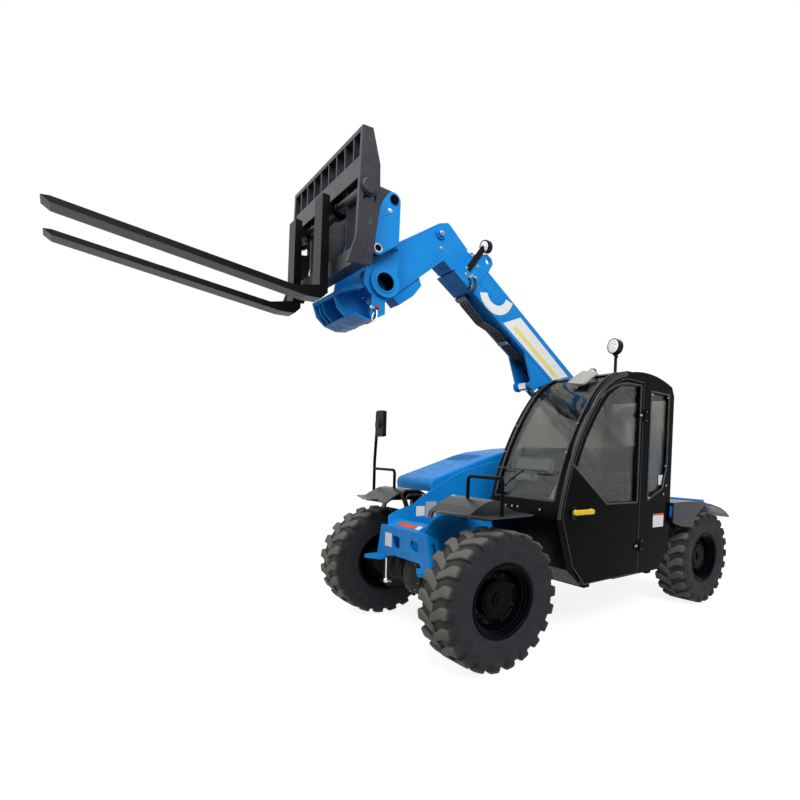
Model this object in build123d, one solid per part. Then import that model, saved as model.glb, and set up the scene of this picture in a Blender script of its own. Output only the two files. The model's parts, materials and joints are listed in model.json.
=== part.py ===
from build123d import *
import math
import os

# A compact telescopic handler, in millimetres. +X is forward, +Y is the driver's left, +Z is up.
# Everything is laid out about the point on the ground in the middle of the wheelbase, and
# moved by boxCentreX at the end, so that the whole machine's box is centred on the origin.

# Driving dimensions
wheelBase = 2350
wheelTrack = 1480
tyreRadius = 415
tyreWidth = 300
rimRadius = 212
seatRadius = 205.5
kingpinInset = 185
hubInset = 140
hubStub = 50
boomCentreY = -100
boomAngle = 33.5
boxCentreX = 630

kingpinY = wheelTrack / 2 - kingpinInset
hubY = wheelTrack / 2 - hubInset
frontAxleX = wheelBase / 2
rearAxleX = -wheelBase / 2
axleZ = tyreRadius
sides = {"left": 1, "right": -1}
axles = {"front": frontAxleX, "rear": rearAxleX}

# Chassis
plateThick = 20
rightPlateY = -255
leftPlateY = 125
bellyZ = 360
tailX = -1680
noseX = 1370
frontPlateX = 1350
tieDownX, tieDownY, tieDownZ = 1415, 335, 505
tieDownHole = 16
tieDownThick = 25

# Boom and its pins, as (x, z)
boomPivot = (-1350, 1300)
boomLine = (433, 2329)
liftLowerPin = (-1150, 930)
liftUpperPin = (224, 1876)
outerHeight = 230
outerWidth = 220
outerWall = 10
outerFront = 615
outerRear = -2190
innerGap = 6
padThick = 5.7
innerWall = 10
lineRadius = 9
toolPivot = (1617, 2308)
pivotTubeRadius = 66
hookPin = (1600, 2795)
lockPin = (1695, 2475)

hoseRadius = 9

# Front fenders, the rail loops on them and the mirror
fenderZ = 905
humpInnerY = 300
railX, railInnerY, railOuterY, railTopZ, railRadius = 1190, 490, 840, 1135, 11
mirrorPostTop = (1196, -795, 1510)

# The engine's side box, and the hood's hinge behind it
podRearX = -600
hoodHinge = (-655, 1000)
hoodHingeY = (-740, -410)
grilleFrontX = 556
grilleY = (-820, -425)
grilleSlots = 7
grillePitch = 22

# Cab
cabInnerY = 152
cabOuterY = 860
cabWall = 40
cabRearX = -575
doorSplitX = -180
quarterRearX = -535
windowRearX = -515
cabFloorZ = 400
doorHinge = (-152, 870)
doorHingeHeights = (620, 1620)
beltZ = 950


def slab(points, yLow, yHigh, radii=None):
    """Side view outline in X and Z, thickened from yLow to yHigh; radii maps a corner's index to its round."""
    face = Polygon(*points, align=None)
    for index, radius in (radii or {}).items():
        x, z = points[index]
        corner = min(face.vertices(), key=lambda v: (v.X - x) ** 2 + (v.Y - z) ** 2)
        face = fillet(corner, radius)
    return extrude(Plane.XZ.offset(-yHigh) * face, yHigh - yLow, dir=(0, -1, 0))


def block(x0, x1, y0, y1, z0, z1):
    return Pos((x0 + x1) / 2, (y0 + y1) / 2, (z0 + z1) / 2) * Box(x1 - x0, y1 - y0, z1 - z0)


def crossPin(x, z, radius, yLow, yHigh):
    """A round bar along Y."""
    return Pos(x, (yLow + yHigh) / 2, z) * Rot(90, 0, 0) * Cylinder(radius, yHigh - yLow)


def upright(x, y, radius, zLow, zHigh):
    return Pos(x, y, (zLow + zHigh) / 2) * Cylinder(radius, zHigh - zLow)


def bar(start, end, radius):
    """A round bar between two points."""
    start, end = Vector(*start), Vector(*end)
    return Plane(origin=start, z_dir=end - start) * Cylinder(
        radius, (end - start).length, align=(Align.CENTER, Align.CENTER, Align.MIN))


def bentTube(points, bends, radius):
    """A round tube along straight runs joined by arcs."""
    path = FilletPolyline(*points, radius=bends)
    return sweep(Plane(origin=path @ 0, z_dir=path % 0) * Circle(radius), path)


def along(angle, distance):
    return distance * math.cos(math.radians(angle)), distance * math.sin(math.radians(angle))


# A frame along the boom: local X runs up the boom from the point boomLine, local Z is square to it.
boomFrame = Plane(origin=(boomLine[0], boomCentreY, boomLine[1]),
                  x_dir=(math.cos(math.radians(boomAngle)), 0, math.sin(math.radians(boomAngle))),
                  z_dir=(-math.sin(math.radians(boomAngle)), 0, math.cos(math.radians(boomAngle))))


def onBoom(s0, s1, y0, y1, n0, n1):
    """A block in the boom's own frame: s along it, y from its centre, n square to it."""
    return boomFrame * block(s0, s1, y0, y1, n0, n1)


def boomLocal(point):
    """Where a point of the side view lies in the boom's frame."""
    dx, dz = point[0] - boomLine[0], point[1] - boomLine[1]
    c, s = math.cos(math.radians(boomAngle)), math.sin(math.radians(boomAngle))
    return dx * c + dz * s, -dx * s + dz * c


# ---------------------------------------------------------------- chassis

rightPlateTop = [(1350, 800), (1346, 818), (1284, 853), (1187, 879), (1155, 897), (1105, 934), (1029, 981),
                 (915, 1048), (797, 1113), (701, 1151), (500, 1205), (230, 1262), (-900, 1300), (-1100, 1390)]
towerBack = [(-1180, 1470), (-1480, 1450), (-1600, 1180), (tailX, 900), (tailX, 530), (-860, 530),
             (-760, bellyZ),
             (700, bellyZ), (800, 530)]


def chassisRightPlate():
    plate = slab([(frontPlateX, 530)] + rightPlateTop + towerBack, rightPlateY, rightPlateY + plateThick)
    return plate - crossPin(*boomPivot, 30.05, rightPlateY - 5, rightPlateY + plateThick + 5)


def chassisLeftPlate():
    outline = [(840, 530), (840, 850), (-900, 860), (-1120, 1420)] + towerBack
    plate = slab(outline, leftPlateY, leftPlateY + plateThick)
    return plate - crossPin(*boomPivot, 30.05, leftPlateY - 5, leftPlateY + plateThick + 5)


def chassisCrossMembers():
    """Plates between the two side plates, and the outriggers that carry the cab and the engine's side box."""
    inner, outer = rightPlateY + plateThick, leftPlateY
    members = block(-760, 700, inner, outer, bellyZ, bellyZ + 15)
    members += block(tailX, tailX + 20, inner, outer, 530, 900)
    x, z = liftLowerPin
    members += block(x - 100, x + 100, inner, outer, 575, 600)
    # two ears that carry the lift cylinder's foot
    for y in (-172, -48):
        members += slab([(x - 90, 600), (x + 90, 600), (x + 45, z + 50), (x - 45, z + 50)], y, y + 20)
    members += crossPin(x, z, 25, -182, -18)
    for x in (-420, 340):
        members += block(x, x + 60, leftPlateY + plateThick, 800, bellyZ, cabFloorZ)
        members += block(x, x + 60, -800, rightPlateY, bellyZ, cabFloorZ)
    return members


def frontPlateFace(outline, x0, x1):
    """A plate across the machine, its outline given in Y and Z."""
    face = Plane(origin=(x0, 0, 0), x_dir=(0, 1, 0), z_dir=(1, 0, 0)) * Polygon(*outline, align=None)
    return extrude(face, x1 - x0, dir=(1, 0, 0))


def chassisFrontPlate():
    """The cross plate at the nose with its sloping top, side wings, lugs and short left side plate."""
    outline = [(-316, 748), (302, 748), (375, 512), (262, 512), (240, 552), (-100, 552), (-190, 540),
               (-262, 512), (-375, 512)]
    nose = frontPlateFace(outline, frontPlateX, noseX)
    for y0, y1, z0, z1, radius in ((-141, -37, 606, 690, 20), (103, 213, 616, 690, 34)):
        hole = block(frontPlateX - 5, noseX + 5, y0, y1, z0, z1)
        nose -= fillet(hole.edges().filter_by(Axis.X), radius)
    nose += slab([(frontPlateX, 738), (noseX, 748), (1290, 797), (1282, 782)], rightPlateY + plateThick, 195)
    # wings that fold back from the cross plate, with a slot in each
    wing = [(frontPlateX + 5, 745), (1286, 715), (1267, 605), (1325, 511), (frontPlateX + 5, 520)]
    for y in (-320, 300):
        fold = slab(wing, y, y + 16)
        nose += fold - slab([(1336, 690), (1318, 694), (1292, 622), (1310, 618)], y - 1, y + 17)
    # lugs that stick out forward at the lower corners
    lug = [(noseX - 5, 255), (1405, 255), (1462, 378), (1440, 392), (noseX - 5, 392)]
    for side in sides.values():
        shape = Polygon(*[(x, side * y) for x, y in lug], align=None)
        nose += extrude(Pos(0, 0, tieDownZ) * shape, tieDownThick, dir=(0, 0, 1))
        nose -= upright(tieDownX, side * tieDownY, tieDownHole, tieDownZ - 5, tieDownZ + tieDownThick + 5)
    # stowed tow pin under the cross plate
    nose += upright(1360, -240, 6, 360, 560) + Pos(1360, -240, 354) * Sphere(14)
    # left side plate in front of the cab, and the plate that closes the trough behind it
    leftOutline = [(frontPlateX, 530), (frontPlateX, 738), (1318, 765), (1290, 797), (1262, 826), (1215, 850),
                   (1160, 862), (840, 862), (840, 530)]
    nose += slab(leftOutline, 195, 215)
    nose += block(840, 860, rightPlateY + plateThick, 200, 530, 780)
    return nose


def boomPivotPin():
    return crossPin(*boomPivot, 30, rightPlateY - 15, leftPlateY + plateThick + 15)


def counterweight():
    outline = [(tailX, 430), (-1760, 430), (-1800, 520), (-1800, 860), (-1760, 900), (tailX, 900)]
    return slab(outline, -520, 520)


def engineBlock():
    return block(-520, 440, -720, -330, 430.3, 940)


def enginePod():
    """The fixed side box that the engine sits in, open on top under the hood."""
    outside = slab([(podRearX, 400), (480, 400), (620, 520), (680, 700), (690, 1004), (podRearX, 1004)],
                   -840, -276)
    inside = block(-580, 500, -815, -296, 430, 1100)
    pod = outside - inside
    for z in (898, 930):
        pod -= bar((640, rightPlateY - 60, z), (760, rightPlateY - 60, z), hoseRadius + 0.4)
    # hood hinge: lugs on the rear wall with the pin between them
    x, z = hoodHinge
    for y in hoodHingeY:
        pod += crossPin(x, z, 12, y - 50, y - 20) + crossPin(x, z, 12, y + 20, y + 50)
        pod += crossPin(x, z, 6, y - 50, y + 50)
        for low in (y - 50, y + 20):
            pod += block(x, podRearX, low, low + 30, z - 12, z)
    return pod


# ---------------------------------------------------------------- axles, knuckles and wheels

def axleBeam(x):
    beamEnd = kingpinY - 125
    beam = crossPin(x, axleZ, 85, -beamEnd, beamEnd)
    beam += Pos(x, -20, axleZ) * Sphere(150)
    for y in (-190, 150):
        beam += crossPin(x, axleZ, 108, y - 12, y + 12)
    leftPlate = 195 if x > 0 else leftPlateY
    for y in (rightPlateY, leftPlate):
        beam += block(x - 100, x + 100, y - 20, y + 40, axleZ, 530)
    for side in sides.values():
        low, high = sorted((side * beamEnd, side * (beamEnd + 50)))
        beam += block(x - 70, x + 70, low, high, axleZ - 165, axleZ + 165)
        for level in (-1, 1):
            zLow = axleZ + (130 if level > 0 else -165)
            low, high = sorted((side * (beamEnd + 20), side * (kingpinY + 45)))
            beam += block(x - 60, x + 60, low, high, zLow, zLow + 35)
            beam -= upright(x, side * kingpinY, 20.05, zLow - 1, zLow + 36)
    # steering cylinder across the beam, its rod ends as round eyes
    front = -1 if x > 0 else 1
    cylinderX = x + front * 150
    beam += bar((cylinderX, -260, axleZ), (cylinderX, 260, axleZ), 38)
    beam += bar((cylinderX, -beamEnd + 50, axleZ), (cylinderX, beamEnd - 50, axleZ), 18)
    for side in sides.values():
        beam += upright(cylinderX, side * (beamEnd - 50), 26, axleZ - 22, axleZ + 22)
    for y in (-240, 200):
        beam += block(min(x, cylinderX), max(x, cylinderX), y, y + 40, axleZ - 30, axleZ + 30)
    return beam


def knuckle(x, side):
    y = side * kingpinY
    hubOuter = wheelTrack / 2 - 0.3
    body = upright(x, y, 62, axleZ - 120, axleZ + 120)
    body += upright(x, y, 20, axleZ - 165, axleZ + 165)
    steps = ((105, hubY, hubOuter), (60, kingpinY, hubY + 10), (60, hubOuter, hubOuter + hubStub))
    for radius, start, end in steps:
        low, high = sorted((side * start, side * end))
        body += crossPin(x, axleZ, radius, low, high)
    return body


# half section of the rim: distance from the wheel's centre plane outward, and radius
rimProfile = [(132, rimRadius + 10), (132, 212), (124, 200), (108, 198), (104, 190), (86, 188), (82, 180),
              (56, 178), (34, 170), (20, 158), (14, 148), (14, 60.05), (0, 60.05), (0, 150), (-20, 186),
              (-110, 192), (-132, 212), (-132, rimRadius + 10), (-118, rimRadius + 10), (-118, seatRadius),
              (118, seatRadius), (118, rimRadius + 10)]


def turned(profile, x, side):
    """A revolved solid about the wheel's axle line, its profile given as (outward, radius)."""
    solid = revolve(Polygon(*profile, align=None), Axis.X, 360)
    return Pos(x, side * wheelTrack / 2, axleZ) * Rot(0, 0, 90 * side) * solid


def rim(x, side):
    """Stepped rim with its disc and the hub's cap."""
    body = turned(rimProfile, x, side)
    planeY = side * wheelTrack / 2
    for radius, start, end in ((112, 14, 66), (98, 66, 74), (42, 74, 82)):
        low, high = sorted((planeY + side * start, planeY + side * end))
        body += crossPin(x, axleZ, radius, low, high)
    low, high = sorted((planeY, planeY + side * (hubStub + 5)))
    return body - crossPin(x, axleZ, 60.05, low, high)


# half section of the tyre's outside, from its side to its middle: distance from the centre plane, and radius
tyreShoulder = [(tyreWidth / 2, 300), (146, 350), (128, 390), (60, 400)]
treadSides = 36
lugCount = 18
treadBase = 346
halfStep = 180 / treadSides


def ring(sections):
    """A many-sided solid about the Y axis through sections given as (y, radius), with a flat side down."""
    outlines = [Plane(origin=(0, y, 0), x_dir=(1, 0, 0), z_dir=(0, 1, 0))
                * RegularPolygon(radius, treadSides, rotation=halfStep) for y, radius in sections]
    return loft(outlines, ruled=True)


def tyreShape():
    """A tyre about the origin: flat-sided body, and bent lugs that lead forward at the middle."""
    far = [(-y, radius) for y, radius in tyreShoulder]
    body = ring(far + tyreShoulder[::-1])
    for side in sides.values():
        recess = [(side * 117, rimRadius + 12), (side * (tyreWidth / 2 + 1), 302)]
        body -= ring(sorted(recess))
    body -= ring([(-tyreWidth, seatRadius + 1), (tyreWidth, seatRadius + 1)])
    lugs = []
    for row in (-1, 1):
        outline = [(-29, 144), (29, 144), (29, 92), (72, -10), (26, -10), (-29, 80)]
        shape = Polygon(*[(t, row * y) for t, y in outline], align=None)
        lug = extrude(Pos(0, 0, treadBase) * shape, tyreRadius + 20 - treadBase, dir=(0, 0, 1))
        for index in range(lugCount):
            angle = 360 / lugCount * (index + (0.5 if row > 0 else 0))
            lugs.append(Rot(0, angle, 0) * lug)
    corner = tyreRadius / math.cos(math.radians(halfStep))
    return (body + lugs) & ring([(-tyreWidth, corner), (tyreWidth, corner)])


# ---------------------------------------------------------------- cab

def cabOutline(inset, low, rear):
    """Side view of the cab, set in by inset: flat floor, bowed front, bowed roof."""
    front = [(500 - inset * 0.4, low), (646 - inset, 530 + inset * 0.3), (757 - inset, 870),
             (640 - inset * 0.9, 1300 - inset * 0.3), (400 - inset * 0.7, 1720 - inset * 0.7),
             (70, 1930 - inset)]
    edge = Polyline(front[0], front[1], front[2])
    edge += ThreePointArc(front[2], front[3], front[4])
    edge += ThreePointArc(front[4], (250 - inset * 0.5, 1858 - inset * 0.85), front[5])
    edge += Line(front[5], (15, 1930 - inset))
    edge += ThreePointArc((15, 1930 - inset), (-230, 1949 - inset), (rear + 35, 1885 - inset))
    edge += Polyline((rear + 35, 1885 - inset), (rear, 1813 - inset), (rear, 560), (rear + 150, low), front[0])
    return make_face(edge)


def cabSlice(inset, yLow, yHigh, low=cabFloorZ, rear=cabRearX):
    return extrude(Plane.XZ.offset(-yHigh) * cabOutline(inset, low, rear), yHigh - yLow, dir=(0, -1, 0))


def cabFrame():
    shell = cabSlice(0, cabInnerY, cabOuterY)
    shell -= cabSlice(cabWall, cabInnerY + cabWall, cabOuterY - cabWall, cabFloorZ + 50, cabRearX + cabWall)
    # door opening and rear quarter opening in the left wall
    shell -= cabSlice(46, cabOuterY - cabWall - 5, cabOuterY + 5, cabFloorZ - 20, quarterRearX) & block(
        doorSplitX + 25, 900, 800, 900, cabFloorZ - 30, 1890)
    shell -= block(quarterRearX, doorSplitX - 25, cabOuterY - cabWall - 5, cabOuterY + 5, 560, 1850)
    # windscreen opening
    shell -= cabSlice(-10, cabInnerY + 45, cabOuterY - 45) - block(
        -700, 900, 0, 900, 300, 985) - block(-700, 180, 0, 900, 300, 2000)
    # right window, rear window and roof window
    shell -= cabSlice(80, cabInnerY - 5, cabInnerY + cabWall + 5, beltZ + 30, windowRearX) & block(
        windowRearX, 900, 0, 300, beltZ + 30, 1850)
    shell -= block(cabRearX - 5, cabRearX + cabWall + 5, cabInnerY + 60, cabOuterY - 60, 1020, 1790)
    shell -= block(-380, 0, cabInnerY + 80, cabOuterY - 80, 1860, 1960)
    # door hinges: a pin between two barrels, on a leaf screwed to the middle pillar
    x, y = doorHinge
    for z in doorHingeHeights:
        shell += hingeBarrel(doorHinge, "Z", [(z - 45, z - 20), (z + 20, z + 45)])
        shell += upright(x, y, 5, z - 45, z + 45)
        for low in (z - 45, z + 20):
            shell += block(x - 45, x, cabOuterY, y, low, low + 25)
    return shell


def hingeBarrel(axis, direction, spans, radius=9, bore=0):
    """Barrel pieces round a hinge line: axis is its fixed point, spans the stretches along it."""
    barrel = None
    for low, high in spans:
        if direction == "Z":
            piece = upright(axis[0], axis[1], radius, low, high)
        else:
            piece = crossPin(axis[0], axis[1], radius, low, high)
        barrel = piece if barrel is None else barrel + piece
    return barrel


def windscreen():
    glass = cabSlice(10, cabInnerY + 45.3, cabOuterY - 45.3) - cabSlice(16, cabInnerY, cabOuterY)
    glass -= block(-700, 900, 0, 900, 300, 985.3)
    return glass - block(-700, 180.3, 0, 900, 300, 2000)


def cabWindows():
    right = cabSlice(80.3, cabInnerY + 14, cabInnerY + 20, beltZ + 30.3, windowRearX + 0.3) & block(
        windowRearX + 0.3, 900, 0, 300, beltZ + 30.3, 1849.7)
    rear = block(cabRearX + 14, cabRearX + 20, cabInnerY + 60.3, cabOuterY - 60.3, 1020.3, 1789.7)
    roof = block(-379.7, -0.3, cabInnerY + 80.3, cabOuterY - 80.3, 1912, 1918)
    return right + rear + roof


def quarterWindow(inset, yLow, yHigh):
    """The quarter window's outline, arched along its lower rear corner."""
    low, high = beltZ + 20 + inset, 1815 - inset
    front, back = doorSplitX - 60 - inset, quarterRearX + 35 + inset
    outline = [(front, high), (back, high), (back, low + 260), (back + 50, low + 90), (front, low)]
    return slab(outline, yLow, yHigh)


def quarterPanel():
    panel = block(quarterRearX + 0.3, doorSplitX - 25.3, cabOuterY - cabWall, cabOuterY, 560.3, 1849.7)
    return panel - quarterWindow(0, cabOuterY - cabWall - 1, cabOuterY + 1)


def quarterGlass():
    return quarterWindow(0.3, cabOuterY - 26, cabOuterY - 20)


def doorSlab(inset, yLow, yHigh):
    return cabSlice(inset, yLow, yHigh, cabFloorZ + 6, quarterRearX) & block(
        doorSplitX + 31, 900, yLow, yHigh, cabFloorZ - 30, 1884)


def doorWindow(inset, yLow, yHigh):
    """The window's outline: it follows the bowed front and comes down at a slant to the belt."""
    cut = [(doorSplitX + 75 + inset, beltZ + 10 + inset), (255 - inset * 0.5, beltZ + 10 + inset),
           (640, 1250 + inset), (900, 1250 + inset), (900, 2000), (doorSplitX + 75 + inset, 2000)]
    region = cabSlice(96 + inset, yLow, yHigh, cabFloorZ, quarterRearX)
    return region & slab(cut, yLow, yHigh) & block(-700, 900, yLow, yHigh, 300, 1840 - inset)


def door():
    panel = doorSlab(52, cabOuterY - cabWall, cabOuterY) - doorWindow(0, cabOuterY - cabWall - 1, cabOuterY + 1)
    x, y = doorHinge
    for z in doorHingeHeights:
        leaf = block(x, x + 60, cabOuterY, y - 3, z - 19.7, z + 19.7) + upright(x, y, 9, z - 19.7, z + 19.7)
        panel += leaf
        panel -= upright(x, y, 5.05, z - 20, z + 20)
    return panel


def doorGlass():
    return doorWindow(0.3, cabOuterY - 26, cabOuterY - 20)


def doorHandle():
    handle = block(415, 620, cabOuterY + 18, cabOuterY + 34, 893, 927)
    for x in (425, 590):
        handle += block(x, x + 20, cabOuterY, cabOuterY + 18, 897, 923)
    return handle


def seat():
    cushion = block(-330, 160, 290, 740, 780, 880)
    base = block(-260, 100, 350, 680, 450.3, 780)
    back = slab([(-330, 880), (-230, 880), (-320, 1400), (-400, 1400)], 300, 730)
    return base + cushion + back


def steeringColumn():
    console = slab([(340, 450.3), (455, 450.3), (560, 560), (640, 880), (420, 930)], 330, 700)
    column = bar((480, 515, 800), (322, 515, 1072), 28)
    c, s = math.cos(math.radians(58.6)), math.sin(math.radians(58.6))
    wheel = Plane(origin=(322, 515, 1072), z_dir=(-c, 0, s)) * Torus(175, 14)
    spokes = Plane(origin=(322, 515, 1072), z_dir=(-c, 0, s)) * Box(40, 340, 12)
    return console + column + wheel + spokes


# ---------------------------------------------------------------- fenders, rails, mirrors, lamps

def frontFender(side):
    """A thin plate over the wheel with a black arched hump on its inner half, on two struts."""
    plan = [(960, 450), (960, 860), (1305, 895), (1400, 500), (1392, 450)]
    shape = Polygon(*[(x, side * y) for x, y in plan], align=None)
    fender = extrude(Pos(0, 0, fenderZ) * shape, 12, dir=(0, 0, 1))
    top = [(980, 917), (1040, 944), (1095, 986), (1150, 998), (1205, 990), (1280, 953), (1350, 905)]
    under = [(1340, 896), (1274, 941), (1200, 978), (1150, 985), (1100, 974), (1046, 934), (984, 905)]
    low, high = sorted((side * humpInnerY, side * 720))
    fender += slab(top + under, low, high)
    low, high = sorted((side * 708, side * 720))
    fender += slab(top + [(1340, fenderZ + 5), (984, fenderZ + 5)], low, high)
    low, high = sorted((side * humpInnerY, side * 345))
    fender += slab([(1350, 905), (1362, 868), (1350, 866), (1338, 896)], low, high)
    # strut from the chassis side plate
    foot = 215 if side > 0 else 255
    low, high = sorted((side * foot, side * 500))
    fender += block(1000, 1050, low, high, 838, 858)
    low, high = sorted((side * 460, side * 500))
    return fender + block(1000, 1050, low, high, 838, fenderZ + 6)


def rearFender(side):
    low, high = sorted((side * 560, side * 898))
    frontX = cabRearX if side > 0 else podRearX
    top = [(frontX, 937), (-749, 943), (-1006, 935), (-1218, 903), (-1400, 862), (-1500, 822), (-1580, 775)]
    under = [(-1572, 765), (-1494, 808), (-1396, 848), (-1214, 889), (-1004, 921), (-749, 929), (frontX, 923)]
    fender = slab(top + under, low, high)
    # skirt in front of the wheel
    skirt = [(frontX, 930), (-749, 936), (-1006, 928), (-1120, 912), (-1035, 865), (-941, 807), (-895, 713),
             (-700, 735), (frontX, 770)]
    low, high = sorted((side * 886, side * 898))
    fender += slab(skirt, low, high)
    plateY = leftPlateY + plateThick if side > 0 else -rightPlateY
    low, high = sorted((side * plateY, side * 600))
    fender += block(-1300, -1240, low, high, 846, 866)
    low, high = sorted((side * 580, side * 600))
    return fender + block(-1300, -1240, low, high, 846, 880)


def handRails():
    """A tube loop on each front fender; the right one's outer leg goes on up and carries the mirror."""
    outerFoot = (railX, -railOuterY, fenderZ + 12)
    rails = bentTube([(railX, railInnerY, 994), (railX, railInnerY, railTopZ), (railX, railOuterY, railTopZ),
                      (railX, railOuterY, fenderZ + 12)], 30, railRadius)
    rails += bentTube([(railX, -railInnerY, 994), (railX, -railInnerY, railTopZ),
                       (railX, -railOuterY, railTopZ)], 30, railRadius)
    rails += bentTube([outerFoot, (railX, -railOuterY, railTopZ + 60), mirrorPostTop], 60, railRadius + 0.5)
    # clamp and short arm of the mirror
    x, y, z = mirrorPostTop
    rails += upright(x, y, 17, z - 40, z + 6)
    return rails + bar((x, y, z - 14), (x + 8, y + 72, z - 14), 8)


def mirrorHead():
    x, y, z = mirrorPostTop
    head = block(x + 8, x + 34, y + 40, y + 172, 1393, 1600)
    head = fillet(head.edges().filter_by(Axis.X), 28)
    return head - bar((x, y, z - 14), (x + 8, y + 72, z - 14), 8)


def roofMirror():
    arm = bentTube([(35, 560, 1930), (35, 560, 1990), (300, 560, 1990)], 25, 9)
    return arm + block(300, 320, 460, 700, 1930, 2060)


def roofLamp():
    return upright(40, 720, 12, 1930, 2080) + Pos(50, 720, 2130) * Rot(0, 90, 0) * Cylinder(58, 50)


def rearLamps():
    lamps = None
    for y in (-520, 400):
        lamp = block(-1830, -1800, y, y + 120, 700, 800)
        lamps = lamp if lamps is None else lamps + lamp
    return lamps


def frontHoses():
    """Two hoses that come out of the engine's side box, arch over and go down beside the right side plate."""
    hoses = block(1146, 1210, rightPlateY - 36, rightPlateY, 640, 672)
    y = rightPlateY - 15
    for shift in (0, 32):
        hoses += bentTube([(660, y - 45, 930 - shift), (860, y - 45, 930 - shift), (1010, y, 935 - shift),
                           (1110, y, 992 - shift), (1255 - shift, y, 992 - shift),
                           (1212 - shift, y, 880 - shift), (1194 - shift, y, 600)], 36, hoseRadius)
    return hoses


# ---------------------------------------------------------------- hood

def hoodShell(inset):
    top = [(1002, 1066), (454, 1263), (323, 1300), (15, 1345), (-300, 1375), (-630, 1385)]
    outline = [(990 - inset, 978 - inset), (1002 - inset, 1066 - inset)]
    outline += [(x, z - inset) for x, z in top[1:-1]]
    outline += [(-630 + inset, 1385 - inset), (-630 + inset, 1005 - inset), (700 - inset, 1005 - inset),
                (740 - inset, 978 - inset)]
    return slab(outline, -865 + inset, -285 - inset)


def hood():
    """The tilting engine cover: sloping top, rounded nose and edges, a slotted grille in the slope."""
    outer = hoodShell(0)

    def picked(test):
        return [e for e in outer.edges() if test(e.center())]
    outer = fillet(picked(lambda c: (c.Y < -860 and (c.Z > 1100 or c.X > 985) and c.Z > 1010)
                          or (c.X > 1000 and c.Z > 1060)), 55)
    outer = fillet(picked(lambda c: c.Y > -290 and (c.Z > 1100 or c.X > 985) and c.Z > 1010), 18)
    shell = outer - hoodShell(25)
    slope = math.degrees(math.atan2(1263 - 1066, 1002 - 454))
    for index in range(grilleSlots):
        x = grilleFrontX - grillePitch * (index + 0.5)
        z = 1066 + (1002 - x) * math.tan(math.radians(slope))
        shell -= Pos(x, (grilleY[0] + grilleY[1]) / 2, z) * Rot(0, slope, 0) * Box(
            grillePitch * 0.6, grilleY[1] - grilleY[0], 80)
    x, z = hoodHinge
    for y in hoodHingeY:
        shell += crossPin(x, z, 12, y - 19.7, y + 19.7)
        shell += block(x, -620, y - 19.7, y + 19.7, z, 1030)
        shell -= crossPin(x, z, 6.05, y - 20, y + 20)
    return shell


# ---------------------------------------------------------------- boom

def boomOuter():
    half = outerWidth / 2
    tube = onBoom(outerRear, outerFront, -half, half, -outerHeight / 2, outerHeight / 2)
    inside = outerWall
    tube -= onBoom(outerRear + 60, outerFront + 1, -half + inside, half - inside,
                   -outerHeight / 2 + inside, outerHeight / 2 - inside)
    # collar round the open end
    high = outerHeight / 2 + 8
    front = outerFront - 25
    collar = boomFrame * slab([(outerFront - 165, -high), (outerFront + 23, -high), (front, high),
                               (outerFront - 175, high)], -half - 8, half + 8)
    collar -= onBoom(outerFront - 176, outerFront + 30, -half + inside, half - inside,
                     -outerHeight / 2 + inside, outerHeight / 2 - inside)
    # lifting lug with its slot, on the collar's left side
    lug = boomFrame * slab([(outerFront - 182, high - 5), (outerFront - 175, 190), (outerFront - 142, 214),
                            (outerFront - 95, 206), (front, high - 5)], half - 12, half + 8, {2: 20, 3: 20})
    tube += lug - boomFrame * (Pos(outerFront - 132, half, 168) * Rot(90, 0, 0) * Cylinder(20, 60))
    tube += collar
    # wear pads inside the mouth
    halfIn, highIn = half - inside, outerHeight / 2 - inside
    for y in (-50, 50):
        for side in (-1, 1):
            low, high = sorted((side * highIn, side * (highIn - padThick)))
            tube += onBoom(outerFront - 80, outerFront - 20, y - 20, y + 20, low, high)
    for side in (-1, 1):
        low, high = sorted((side * halfIn, side * (halfIn - padThick)))
        tube += onBoom(outerFront - 80, outerFront - 20, low, high, -40, 40)
    # pivot boss at the tail
    tube += crossPin(*boomPivot, 80, boomCentreY - half, boomCentreY + half)
    ps, pn = boomLocal(boomPivot)
    tube += onBoom(ps - 80, ps + 320, -half, half, 60, pn)
    tube -= crossPin(*boomPivot, 30.05, boomCentreY - half - 5, boomCentreY + half + 5)
    # ears for the lift cylinder's rod, flush with the boom's sides
    us, un = boomLocal(liftUpperPin)
    bottom = -outerHeight / 2
    for side in sides.values():
        low, high = sorted((side * 88, side * 108))
        tube += boomFrame * slab([(us - 140, bottom + 2), (us + 234, bottom + 2), (us + 44, un + 10),
                                  (us - 44, un + 10)], low, high)
        tube += crossPin(*liftUpperPin, 45, boomCentreY + low, boomCentreY + high)
        low, high = sorted((side * 50, side * 90))
        tube += crossPin(*liftUpperPin, 32, boomCentreY + low, boomCentreY + high)
    return tube


def boomInner():
    half = outerWidth / 2 - outerWall - innerGap
    high = outerHeight / 2 - outerWall - innerGap
    tube = onBoom(-1500, 645, -half, half, -high, high)
    return tube - onBoom(-1501, 600, -half + innerWall, half - innerWall, -high + innerWall, high - innerWall)


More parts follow.
